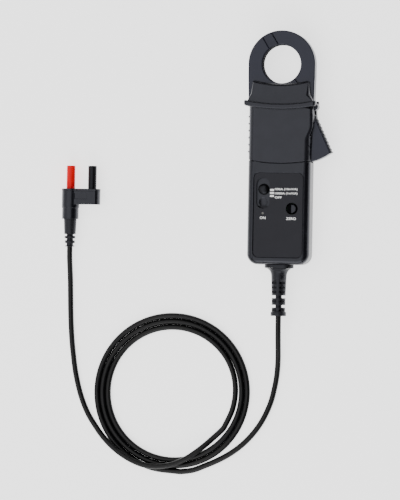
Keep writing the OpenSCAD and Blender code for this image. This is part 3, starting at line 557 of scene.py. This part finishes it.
def core_alloy():
    """Stacked laminations seen on the edge."""
    look = Look("core_alloy", Specular_IOR_Level=0.5)
    layer_t = 0.35 * MM
    height = look.node("ShaderNodeSeparateXYZ", None, {0: look.spot()}, out="Z")
    turns = height * (2 * math.pi / layer_t)
    layers = turns.maths("SINE", turns)
    patch = look.noise(2.0, 3.0)
    tone = look.mix(patch.ramp(0.3, 0.7), (0.34, 0.35, 0.36), (0.46, 0.46, 0.46))
    return look.set(Base_Color=tone, Metallic=0.9 - patch * 0.2,
                    Roughness=0.38 + patch * 0.1, Normal=look.relief(layers, 0.01))


def metal(name, colour, rough, grain):
    """Bare metal, dulled in patches, with a grain of that many millimetres."""
    look = Look(name, Specular_IOR_Level=0.5)
    fine, patch = look.noise(grain, 3.0), look.noise(4.0, 2.0)
    tone = look.mix(patch.ramp(0.35, 0.7), colour, tuple(0.82 * c for c in colour))
    return look.set(Base_Color=tone, Metallic=1.0 - (patch - 0.5) * 0.1,
                    Roughness=rough + (fine - 0.5) * 0.14,
                    Normal=look.relief(fine, 0.003, look.soft_edge(0.15)))


def board_laminate():
    """Green laminate with its weave showing."""
    look = Look("board_laminate", Specular_IOR_Level=0.5)
    weave = look.node("ShaderNodeTexChecker", None,
                      {"Vector": look.spot(), "Scale": 1 / (0.6 * MM)}, out="Fac")
    patch = look.noise(3.0, 2.0)
    tone = look.mix(weave * 0.3 + patch.ramp(0.4, 0.6) * 0.3,
                    (0.010, 0.085, 0.035), (0.016, 0.120, 0.050))
    return look.set(Base_Color=tone, Roughness=0.35 + (patch - 0.5) * 0.1)


def battery_can():
    """A plain printed steel can: dark body with a lighter band."""
    look = Look("battery_can", Specular_IOR_Level=0.5)
    across = look.node("ShaderNodeSeparateXYZ", None, {0: look.spot()}, out="X")
    band = across.ramp(at(6, 0).x, at(6.4, 0).x)
    fine = look.noise(0.8, 3.0)
    tone = look.mix(band, (0.050, 0.070, 0.110), (0.52, 0.50, 0.44))
    return look.set(Base_Color=tone, Metallic=0.5 + (fine - 0.5) * 0.1,
                    Roughness=0.32 + (fine - 0.5) * 0.1,
                    Normal=look.relief(fine, 0.003, look.soft_edge(0.6)))


def floor_paper():
    """Plain paper over a light table."""
    look = Look("floor_paper", Specular_IOR_Level=0.1, Emission_Color=(1, 1, 1),
                Emission_Strength=1.8)
    fibre = look.noise(1.5, 3.0)
    tone = look.mix(fibre.ramp(0.3, 0.7), (0.90, 0.90, 0.90), (0.92, 0.92, 0.92))
    return look.set(Base_Color=tone, Roughness=0.9 + (fibre - 0.5) * 0.05)


# ---------------------------------------------------------------------- cord

CORD_R = 2.45
RELIEF_END = -44.0

# The route from the relief to the coil, and from the coil to the plug, in
# millimetres from the relief's end, as in part.scad. The solids' cord is a
# little thinner, so its points on the floor are raised to CORD_R.
TO_COIL = [
    (0, 0, 12.5), (0, -9, 12.4), (-0.1, -18, 11), (-0.3, -27, 8.4), (-0.6, -36, 5.4),
    (-1.2, -45, 3.2), (-2.2, -54, 2.4), (-3.8, -63, 2.3), (-6.2, -73, 2.3),
    (-10, -83, 2.3), (-15.2, -93, 2.3), (-22, -102.5, 2.3), (-30.5, -111.5, 2.3),
    (-40.5, -119.3, 2.3), (-51.5, -125.7, 2.3), (-63, -130.9, 2.3), (-73.4, -135, 2.3),
    (-83.1, -136.6, 2.3), (-87.7, -136.6, 2.3)]
TO_PLUG = [
    (-57.2, -107.4, 3), (-63.4, -113.2, 5.2), (-70.9, -119.3, 6.9), (-80.3, -125.6, 7.5),
    (-91.3, -130.3, 7.5), (-103.6, -132.3, 7.5), (-116.4, -131.4, 7.5),
    (-127.5, -127.4, 7.5), (-137.9, -121.4, 7.2), (-146.5, -114.6, 6.4),
    (-154.5, -106.6, 4.4), (-161.6, -97.4, 2.7), (-167, -89, 2.3), (-171.4, -79.5, 2.3),
    (-174.9, -69.5, 2.3), (-177.6, -59, 2.3), (-179.7, -48.5, 2.3), (-181.2, -37.5, 2.3),
    (-182.5, -26.5, 2.3), (-183.4, -15.5, 2.3), (-184, -4.5, 2.3), (-184.4, 6.5, 2.3),
    (-184.7, 17.5, 2.3), (-184.9, 28, 3), (-185, 38, 5.1), (-185, 46.5, 7.3),
    (-185, 51.5, 7.7), (-185, 56.5, 7.7)]

# The coil winds inward, clockwise from its near side, and its last stretch
# is drawn in a little more before it leads out to the plug. Angles in degrees.
COIL_AT, COIL_R, COIL_PITCH = (-92.3, -68.0), 68.6, 4.91
COIL_START, COIL_TURN, COIL_STEP = -90, 1020, 15
DRAWN_FROM, DRAWN_IN, LEAD_OUT = 955, 1.1, 4.6


def coil_point(degrees):
    """The coil's point after winding that far."""
    drawn = DRAWN_IN * smooth_step(degrees, DRAWN_FROM, COIL_TURN)
    r = COIL_R - COIL_PITCH * degrees / 360 - drawn
    a = math.radians(COIL_START - degrees)
    return (COIL_AT[0] + r * math.cos(a), COIL_AT[1] + r * math.sin(a), CORD_R)


def cord_route():
    """Every point of the route, in the frame's metres."""
    coil = [coil_point(degrees) for degrees in range(COIL_STEP, COIL_TURN + 1, COIL_STEP)]
    a = math.radians(COIL_START - COIL_TURN)
    x_end, y_end, z_end = coil[-1]
    led_out = (x_end + LEAD_OUT * math.sin(a), y_end - LEAD_OUT * math.cos(a), z_end)
    return [at(x, RELIEF_END + y, max(z, CORD_R))
            for x, y, z in (*TO_COIL, *coil, led_out, *TO_PLUG)]


def smooth_route(points, steps=5):
    """Points closer together on one smooth curve through the route."""
    finer = []
    for i in range(len(points) - 1):
        before = points[max(i - 1, 0)]
        after = points[min(i + 2, len(points) - 1)]
        a, b = points[i], points[i + 1]
        span = (b - a).length
        lead = (b - before).normalized() * span
        trail = (after - a).normalized() * span
        for k in range(steps):
            t = k / steps
            finer.append((2 * t ** 3 - 3 * t ** 2 + 1) * a + (t ** 3 - 2 * t ** 2 + t) * lead
                         + (3 * t ** 2 - 2 * t ** 3) * b + (t ** 3 - t ** 2) * trail)
    return finer + [points[-1]]


def make_cord(look):
    """One smooth tube along the whole route, with closed ends."""
    data = bpy.data.curves.new("cord", "CURVE")
    data.dimensions = "3D"
    data.bevel_depth, data.bevel_resolution = CORD_R * MM, 7
    data.use_fill_caps = True
    spline = data.splines.new("POLY")
    route = smooth_route(cord_route())
    spline.points.add(len(route) - 1)
    for point, place in zip(spline.points, route):
        point.co = (*place, 1)
    spline.use_smooth = True
    cord = bpy.data.objects.new("cord", data)
    bpy.context.scene.collection.objects.link(cord)
    return finish_piece(cord, "handle", "cord_black", look,
                        "cord_probe_run", "cord_coil", "cord_plug_run")


# -------------------------------------------------------------------- handle

# The handle's half width and thickness, and the radii of its front edge and of
# the corners at its cord end, as in part.scad.
HALF_W, BODY_T, FRONT_R, END_R = 27.0, 25.0, 6.0, 9.5
# Seam, guard and collar cross the handle in sagging arcs, here at the middle.
SEAM_Y, GUARD_LOW, GUARD_HIGH, COLLAR_TOP = 87.0, 133.0, 137.8, 155.0
SAG_R, COLLAR_SAG_R = 150.0, 95.0
# Every edge of the collar's plate lies above this height.
COLLAR_Z = 19.5


def near_arc(m, y, r=SAG_R, reach=0.3):
    """Whether m is on the sagging arc of radius r that crosses the middle at y."""
    return abs(m.y - (y + r - math.sqrt(r * r - m.x * m.x))) < reach


def guard_edge(e):
    """The edges of the guard where it stands proud of the handle."""
    m = middle(e)
    proud = m.z > BODY_T + 0.4 or abs(m.x) > HALF_W + 3.6
    return proud and (near_arc(m, GUARD_LOW) or near_arc(m, GUARD_HIGH))


def collar_edge(e):
    """The upper edge of the collar's plate."""
    m = middle(e)
    above_guard = m.y > GUARD_HIGH + 4
    return above_guard and m.z > COLLAR_Z and near_arc(m, COLLAR_TOP, COLLAR_SAG_R)


def collar_side(way):
    """The edges that run up one side of the collar's plate: 1 is the right."""
    def wanted(e):
        m = middle(e)
        upward = abs(e.verts[0].co.y - e.verts[1].co.y) > 2 * MM
        return upward and m.y > GUARD_HIGH + 2 and m.z > COLLAR_Z and m.x * way > 18
    return wanted


def skin_z(x):
    """Height of the handle's front over x, with its rounded side."""
    over = min(max(abs(x) - (HALF_W - FRONT_R), 0), FRONT_R)
    return BODY_T - FRONT_R + math.sqrt(FRONT_R ** 2 - over ** 2)


def seam_edge(e):
    """The edges of the seam between grip and cover, on the handle's outside."""
    m = middle(e)
    on_skin = abs(m.z - skin_z(m.x)) < 0.15 or (abs(m.x) > HALF_W - 0.1 and m.z > SPLIT_Z)
    return on_skin and near_arc(m, SEAM_Y, reach=0.45)


# A field a little larger than the panel's recess: half width, lower and upper end.
RECESS_HALF, RECESS_LOW, RECESS_HIGH = 21.4, 5.8, 79.2


def recess_edge(e):
    """The edges of the recess in the handle's front face."""
    m = middle(e)
    on_front = abs(m.z - BODY_T) < 0.02
    return on_front and abs(m.x) < RECESS_HALF and RECESS_LOW < m.y < RECESS_HIGH


def from_end(x, y):
    """How far a place near the cord end is inside the handle's rounded outline."""
    return END_R - math.hypot(max(abs(x) - (HALF_W - END_R), 0), y - END_R)


def back_end_rim(e):
    """The back's outer edge round the cord end."""
    m = middle(e)
    return m.y < END_R and abs(from_end(m.x, m.y)) < 0.2 and m.z < 9


# Where the cover is cut across, and up its corners, so that its front can round
# over at the cord end. Then the radius of that rounding, how near the end a face
# starts that is cut, and the cover's wall, whose inner side stays as it is.
END_CUTS = (14, 9.6, 8.4, 7.1, 5.8, 4.5, 3.3, 2.3, 1.5, 0.85, 0.4, 0.12)
CORNER_CUTS = (17.5, 18.8, 20, 21.1, 22.1, 23, 23.8, 24.5, 25.1, 25.6, 26.1, 26.5)
END_ROUND, END_REACH = 5.0, 12
COVER_WALL = 1.9


def round_cord_end(cover):
    """Rounds the front edge over at the handle's cord end, straight part and corners."""
    def near_end(f):
        within = min(v.co.y for v in f.verts) < at(0, END_REACH).y
        return within and f.normal.z > 0.1 and middle(f).z > 18.5
    cut_along(cover, 1, END_CUTS, near_end)
    cut_along(cover, 0, CORNER_CUTS + tuple(-x for x in CORNER_CUTS), near_end)

    def lowered(x, y, z):
        inside = from_end(x, y) if y < END_R else END_ROUND
        inside = 0 if inside < 0.1 else inside
        in_recess = abs(x) < RECESS_HALF - 0.1 and y > RECESS_LOW + 0.2
        in_wall = min(y, inside) > COVER_WALL and z < BODY_T - COVER_WALL
        if z < BODY_T - END_ROUND - 0.6 or inside >= END_ROUND or in_recess or in_wall:
            return None
        drop = END_ROUND - math.sqrt(END_ROUND ** 2 - (END_ROUND - inside) ** 2)
        return (x, y, min(z, BODY_T - drop))
    moved(cover, lowered)

    def sloped(f):
        heights = [v.co.z / MM for v in f.verts]
        return (max(v.co.y for v in f.verts) < at(0, END_CUTS[0]).y
                and 17 < min(heights) < BODY_T - 0.01)
    work_on(cover)
    pick("faces", sloped)
    bpy.ops.mesh.quads_convert_to_tris()
    bpy.ops.mesh.remove_doubles(threshold=2e-6)
    bpy.ops.object.mode_set(mode="OBJECT")


# The stretch of the grip's right edge that swells over the lever, the least
# height of what moves there, and the cuts that let it bend.
SWELL_LOW, SWELL_HIGH, SWELL_Z = 102.0, 134.5, 18.6
SWELL_CUTS, SWELL_STEP = 22, 1.5
# How far its front face and its side are carried out.
FACE_SWELL, SIDE_SWELL = 4.2, 3.4
# The rim of the lever's slot: height, least x, and how far it draws in and down.
RIM_Z, RIM_X, RIM_IN, RIM_DOWN = 23.5, 25.6, 0.5, 3.6


def swell_shoulder(grip):
    """Carries the grip's rounded edge outward over the lever's shoulder."""
    def right_edge(f):
        m = middle(f)
        return f.normal.z > 0.03 and m.z > SWELL_Z and m.x > 20 and m.y < SWELL_HIGH
    cut_along(grip, 1, [SWELL_LOW + SWELL_STEP * i for i in range(SWELL_CUTS)], right_edge)

    def swollen(x, y, z):
        if z < SWELL_Z or x < 20.6 or not SWELL_LOW <= y <= SWELL_HIGH:
            return None
        if abs(z - RIM_Z) < 0.06 and x > RIM_X:
            return (x - RIM_IN, y, z - RIM_DOWN)
        if x > HALF_W + 0.05:
            return None
        face = FACE_SWELL * smooth_step(y, 106, 119)
        easing = 1 - 0.15 * smooth_step(y, 128, GUARD_LOW)
        side = SIDE_SWELL * smooth_step(y, 107, 120) * easing
        share = smooth_step(x, 21, HALF_W)
        return (x + face * (1 - share) + side * share, y, z)
    moved(grip, swollen)


def make_shells(looks):
    """The handle's mouldings, with guard, collar, seam, recess and cord end rounded."""
    grip = copy_of("front_shell", "grip_moulding")
    for width, edges, segments in (
            (2.5, collar_edge, 6), (1.6, guard_edge, 5), (0.6, seam_edge, 3),
            (4.2, collar_side(1), 7), (2.6, collar_side(-1), 5)):
        soften(grip, width, edges, segments, clamp=False)
    swell_shoulder(grip)
    even_shading(grip)
    finish_piece(grip, "handle", "grip_plastic", looks["grip"], "front_shell")

    cover = copy_of("control_cover", "control_moulding")
    soften(cover, 0.7, recess_edge, 4, clamp=False)
    soften(cover, 0.6, seam_edge, 3, clamp=False)
    round_cord_end(cover)
    even_shading(cover)
    finish_piece(cover, "handle", "handle_plastic", looks["handle"], "control_cover")

    back = copy_of("rear_shell", "back_moulding")
    soften(back, 1.2, guard_edge, 4, clamp=False)
    soften(back, 1.6, back_end_rim, 4)
    even_shading(back)
    finish_piece(back, "handle", "handle_plastic", looks["handle"], "rear_shell")


# ---------------------------------------------------------------------- jaws

# The middle of the window between the jaws, a radius just past its wall, and
# half the jaws' thickness.
WINDOW, WINDOW_REACH, JAW_HALF_T = (0.0, 172.2), 17.6, 6


def outer_rim(e):
    """The edges round the jaws' front and back faces."""
    flat = abs(e.verts[0].co.z - e.verts[1].co.z) < 1e-5
    return flat and abs(abs(middle(e).z - SPLIT_Z) - JAW_HALF_T) < 0.05


def make_jaws(looks):
    """The jaw halves and the lever with rounded rims, and the window's wall painted darker and
    duller as shade.
    """
    for node, body, look, width in (
            ("fixed_jaw_front", "handle", "jaw", 0.9), ("fixed_jaw_back", "handle", "jaw", 0.9),
            ("sensor_tip", "handle", "tip", 0.8),
            ("lever_front", "lever", "jaw", 0.9), ("lever_back", "lever", "jaw", 0.9)):
        half = copy_of(node, node + "_moulding")
        soften(half, width, outer_rim, 4, clamp=False)
        even_shading(half)
        finish_piece(half, body, "jaw_plastic", looks[look], node)
        # The window's inner wall gets the darker look: painted shade inside the window.
        half.data.materials.append(looks["bore_painted_shade"])
        for face in half.data.polygons:
            out = face.center - at(*WINDOW, face.center.z / MM)
            if out.length < WINDOW_REACH * MM and abs(face.normal.z) < 0.4:
                face.material_index = 1


# ------------------------------------------------------------ relief and plug

# Rows of flex slots: place along the relief and half width of the sleeve there.
FLEX_ROWS = ((-15.6, 5.7), (-19.5, 5.6), (-23.3, 5.5), (-31.4, 5.3), (-39.0, 5.2))
# A slot is SLOT_T wide, starts WEB_HALF from the middle and SLOT_LIFT above the
# cord's axis, and its tool reaches TOOL_REACH above that axis.
SLOT_T, WEB_HALF, SLOT_LIFT, TOOL_REACH = 1.8, 1.15, 1.6, 9
# The core that stays whole inside the slots: its start, length and radius.
CORE_Y, CORE_LONG, CORE_R = -13, 29, 2.75
# Roundings of the end bead, the slotted sleeve and the flange: width, the stretch
# along the relief, and segments.
RELIEF_ROUNDINGS = ((1.3, -44.1, -40.0, 4), (0.35, -39.9, -25.0, 3), (0.5, -3.1, -2.5, 3))


def make_relief(look):
    """The flex relief: flange and trumpet, a slotted sleeve and its end bead."""
    relief = copy_of("strain_relief", "flex_relief")
    tools = []
    for y, half in FLEX_ROWS:
        bar = block("slot_tool", (WEB_HALF, y - SLOT_T / 2, SPLIT_Z + SLOT_LIFT),
                    (half, y + SLOT_T / 2, SPLIT_Z + TOOL_REACH), corner=0.7, segments=3)
        left = another(bar, x=-WEB_HALF - half)
        back = [another(b, z=-TOOL_REACH - SLOT_LIFT) for b in (bar, left)]
        tools += [bar, left] + back
    combine(relief, joined(tools, "slot_tools"), "DIFFERENCE")
    core = turned("relief_core", at(0, CORE_Y, SPLIT_Z), ((0, CORE_R), (CORE_LONG, CORE_R)),
                  (math.radians(90), 0, 0))
    combine(relief, core, "UNION")
    for width, low, high, segments in RELIEF_ROUNDINGS:
        soften(relief, width, crossways(low, high), segments)
    even_shading(relief, 35)
    finish_piece(relief, "handle", "relief_black", look, "strain_relief")


# The rims of the housing's tail and barrel lie below this place, its bridge above.
BRIDGE_FROM = 46.8


def enlarge_plate(plate):
    """Lets the face plate stand proud of the housing's sides."""
    centre = sum((Vector(c) for c in plate.bound_box), Vector()) / 8
    work_on(plate)
    bpy.ops.mesh.select_all(action="SELECT")
    bpy.ops.transform.resize(value=(1.022, 1, 1.05), center_override=centre)
    bpy.ops.object.mode_set(mode="OBJECT")


def make_plug(looks):
    """The twin plug: boot, housing, face plate, sleeves and pins."""
    boot = copy_of("plug_boot", "bend_relief")
    soften(boot, 0.4, crossways(12, 37), 3)
    even_shading(boot)
    finish_piece(boot, "handle", "relief_black", looks["relief"], "plug_boot")

    housing = copy_of("plug_housing", "twin_plug_housing")
    soften(housing, 0.9, crossways(36, BRIDGE_FROM), 4)
    soften(housing, 0.35, lambda e: middle(e).y > BRIDGE_FROM)
    even_shading(housing)
    finish_piece(housing, "handle", "plug_black", looks["plug"], "plug_housing")

    plate = copy_of("plug_face", "twin_plug_face")
    enlarge_plate(plate)
    soften(plate, 0.5, crossways(60, 63.2), 3, clamp=False)
    even_shading(plate)
    finish_piece(plate, "handle", "plug_black", looks["plug"], "plug_face")

    for colour in ("red", "black"):
        node = colour + "_sleeve"
        shroud = copy_of(node, colour + "_shroud")
        soften(shroud, 0.5, crossways(80, 84), 3)
        even_shading(shroud)
        finish_piece(shroud, "handle", "sleeve_" + colour, looks[node], node)
    for colour in ("red", "black"):
        node = colour + "_contact"
        pin = copy_of(node, colour + "_pin")
        soften(pin, 0.9, None, 4)
        even_shading(pin)
        finish_piece(pin, "handle", "contact_metal", looks["contact"], node)


# ------------------------------------------------------------------- controls

# The middle of the switch, and the heights of its slider's top and of the foil.
SWITCH_X, SLIDER_TOP, FOIL_TOP = -13.3, 22.1, 24.7

# The finger knob: its place, how far its foot sinks into the slider, and its
# outline from the foot to the top as (height, radius).
KNOB_X, KNOB_Y, KNOB_SUNK = SWITCH_X + 0.45, 64.5, 0.05
KNOB_OUTLINE = ((0, 4.7), (1.1, 4.7), (1.8, 4.45), (2.4, 3.95), (2.9, 3.2), (3.25, 2.3),
                (3.5, 1.25), (3.58, 0.4))
# The slider's dish: its middle, its radius at the top and its depth.
DISH_Y, DISH_R, DISH_DEEP = 53.6, 4.0, 0.95
# The skirt in the slider's slot: half width, and its reach along it and in height.
SKIRT_HALF, SKIRT_Y, SKIRT_Z = 6.3, (45.8, 52), (20.2, 20.7)


def shave_knob(plate):
    """Takes the plain knob off the slider's copy and closes the top again."""
    work_on(plate)
    pick("faces", lambda f: middle(f).z > SLIDER_TOP + 0.1)
    bpy.ops.mesh.delete(type="FACE")
    bpy.context.tool_settings.mesh_select_mode = (False, True, False)
    bpy.ops.mesh.select_all(action="DESELECT")
    bpy.ops.mesh.select_non_manifold()
    bpy.ops.mesh.edge_face_add()
    bpy.ops.object.mode_set(mode="OBJECT")


def hollow_dish(plate):
    """Presses the shallow round dish into the slider's top."""
    ball_r = (DISH_R ** 2 + DISH_DEEP ** 2) / (2 * DISH_DEEP)
    clear()
    bpy.ops.mesh.primitive_uv_sphere_add(
        segments=64, ring_count=64, radius=ball_r * MM,
        location=at(SWITCH_X, DISH_Y, SLIDER_TOP + ball_r - DISH_DEEP))
    combine(plate, done(bpy.context.object), "DIFFERENCE")


def make_switch(looks):
    """The slider with its domed finger knob and its dish, over a dark skirt."""
    plate = copy_of("switch_slider", "slider_plate")
    shave_knob(plate)
    hollow_dish(plate)
    even_shading(plate, 25)
    finish_piece(plate, "slider", "switch_black", looks["slider"], "switch_slider")

    knob = turned("finger_knob", at(KNOB_X, KNOB_Y, SLIDER_TOP - KNOB_SUNK), KNOB_OUTLINE)
    finish_piece(knob, "slider", "switch_black", looks["switch"])

    skirt = block("slider_skirt", (SWITCH_X - SKIRT_HALF, SKIRT_Y[0], SKIRT_Z[0]),
                  (SWITCH_X + SKIRT_HALF, SKIRT_Y[1], SKIRT_Z[1]), corner=2.0, edges=0.1)
    finish_piece(skirt, "handle", "switch_black", looks["switch"])


# The zero knob's middle, where its pad stands, how far left of the middle the
# pad's straight edge is, and the pad's outline as (height, radius).
ZERO_X, ZERO_Y, PAD_Z, PAD_CUT = 11.8, 48.1, 23.5, 0.6
PAD_OUTLINE = ((0, 3.5), (0.5, 3.5), (0.72, 3.3))


def make_zero_knob(looks):
    """A dark dial deep in its well, with a satin D-shaped thumb pad on its right."""
    dial = copy_of("zero_knob", "zero_dial")
    soften(dial, 0.35, lambda e: middle(e).z > PAD_Z, 2)
    even_shading(dial)
    finish_piece(dial, "zero", "switch_black", looks["dial"], "zero_knob")

    pad = turned("zero_thumb_pad", at(ZERO_X, ZERO_Y, PAD_Z), PAD_OUTLINE)
    work_on(pad)
    bpy.ops.mesh.select_all(action="SELECT")
    bpy.ops.mesh.bisect(plane_co=at(ZERO_X - PAD_CUT, ZERO_Y, PAD_Z), plane_no=(-1, 0, 0),
                        use_fill=True, clear_outer=True)
    bpy.ops.object.mode_set(mode="OBJECT")
    soften(pad, 0.35, lambda e: middle(e).z > PAD_Z + 0.4, 3)
    even_shading(pad)
    finish_piece(pad, "zero", "switch_black", looks["slider"])


# Each caption: words, left and right end, middle and height of its capitals.
CAPTIONS = (
    ("100A", -3.0, 4.1, 64.7, 1.9), ("(10mV/A)", 5.0, 16.5, 64.55, 2.3),
    ("1000A", -3.0, 5.7, 61.1, 1.9), ("(1mV/A)", 6.5, 16.5, 60.95, 2.3),
    ("OFF", -3.0, 3.0, 57.6, 1.9), ("ON", -15.7, -10.7, 40.0, 2.2),
    ("ZERO", 7.0, 15.6, 39.6, 2.2))
# The switch's marks: the middle of each, left and right end, and half height.
MARK_ROWS, MARK_LEFT, MARK_RIGHT, MARK_HALF = (63.95, 61.35, 58.75), -7.2, -3.75, 0.8
# Print stands INK_T over the foil. Letters are drawn at LETTER_SIZE with strokes
# widened by BOLD, then stretched.
INK_T, LETTER_SIZE, BOLD = 0.035, 2.2, 0.05


def caption(words, x0, x1, y, tall):
    """Thin printed words, stretched to their place."""
    clear()
    bpy.ops.object.text_add()
    text = bpy.context.object
    half_ink = 0.02
    text.data.body, text.data.size, text.data.offset = words, LETTER_SIZE * MM, BOLD * MM
    text.data.extrude, text.data.resolution_u = half_ink * MM, 3
    bpy.ops.object.convert(target="MESH")
    low = Vector(min(v.co[i] for v in text.data.vertices) for i in range(3))
    high = Vector(max(v.co[i] for v in text.data.vertices) for i in range(3))
    start, size = at(x0, y - tall / 2, FOIL_TOP + INK_T - half_ink), high - low
    text.scale = ((x1 - x0) * MM / size.x, tall * MM / size.y, 1)
    text.location = (start.x - low.x * text.scale.x, start.y - low.y * text.scale.y, start.z)
    return text


def make_captions(look):
    """The printed words and marks beside the controls, as one piece."""
    marks = [block("mark", (MARK_LEFT, y - MARK_HALF, FOIL_TOP),
                   (MARK_RIGHT, y + MARK_HALF, FOIL_TOP + INK_T), corner=0.25)
             for y in MARK_ROWS]
    words = joined([caption(*row) for row in CAPTIONS] + marks, "control_captions")
    outward(words)
    finish_piece(words, "handle", "foil", look)


def dress_nodes(looks):
    """Gives the nodes whose shape is right their materials. Their meshes stay."""
    for look, nodes in (
            ("core", ("fixed_core", "moving_core")),
            ("component", ("hall_sensor", "range_switch")),
            ("trimmer", ("zero_control",)),
            ("steel", ("jaw_pin", "jaw_spring", "case_screws")),
            ("board", ("circuit_board",)),
            ("battery", ("battery",)),
            ("snap", ("battery_snap",)),
            ("handle", ("battery_door",)),
            ("lead", ("signal_leads",)),
            ("foil", ("panel_foil",)),
            ("lamp", ("power_lamp",)),
            ("pad", ("trigger_pad",))):
        for node in nodes:
            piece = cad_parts[node]
            piece.data.materials.clear()
            piece.data.materials.append(looks[look])


def make_floor(look):
    """A broad sheet just under the object, which isn't part of it."""
    clear()
    bpy.ops.mesh.primitive_plane_add(size=24, location=(0, 0, -0.1 * MM))
    floor = bpy.context.object
    floor.name = "floor"
    floor.data.materials.append(look)


# ------------------------------------------------------------------ assembly

add_camera()
add_light()
looks = make_looks()
cord = make_cord(looks["cord"])
make_shells(looks)
make_jaws(looks)
make_relief(looks["relief"])
make_plug(looks)
make_switch(looks)
make_zero_knob(looks)
make_captions(looks["print"])
dress_nodes(looks)
make_floor(looks["floor"])

tuple(at(0, RELIEF_END, SPLIT_Z))
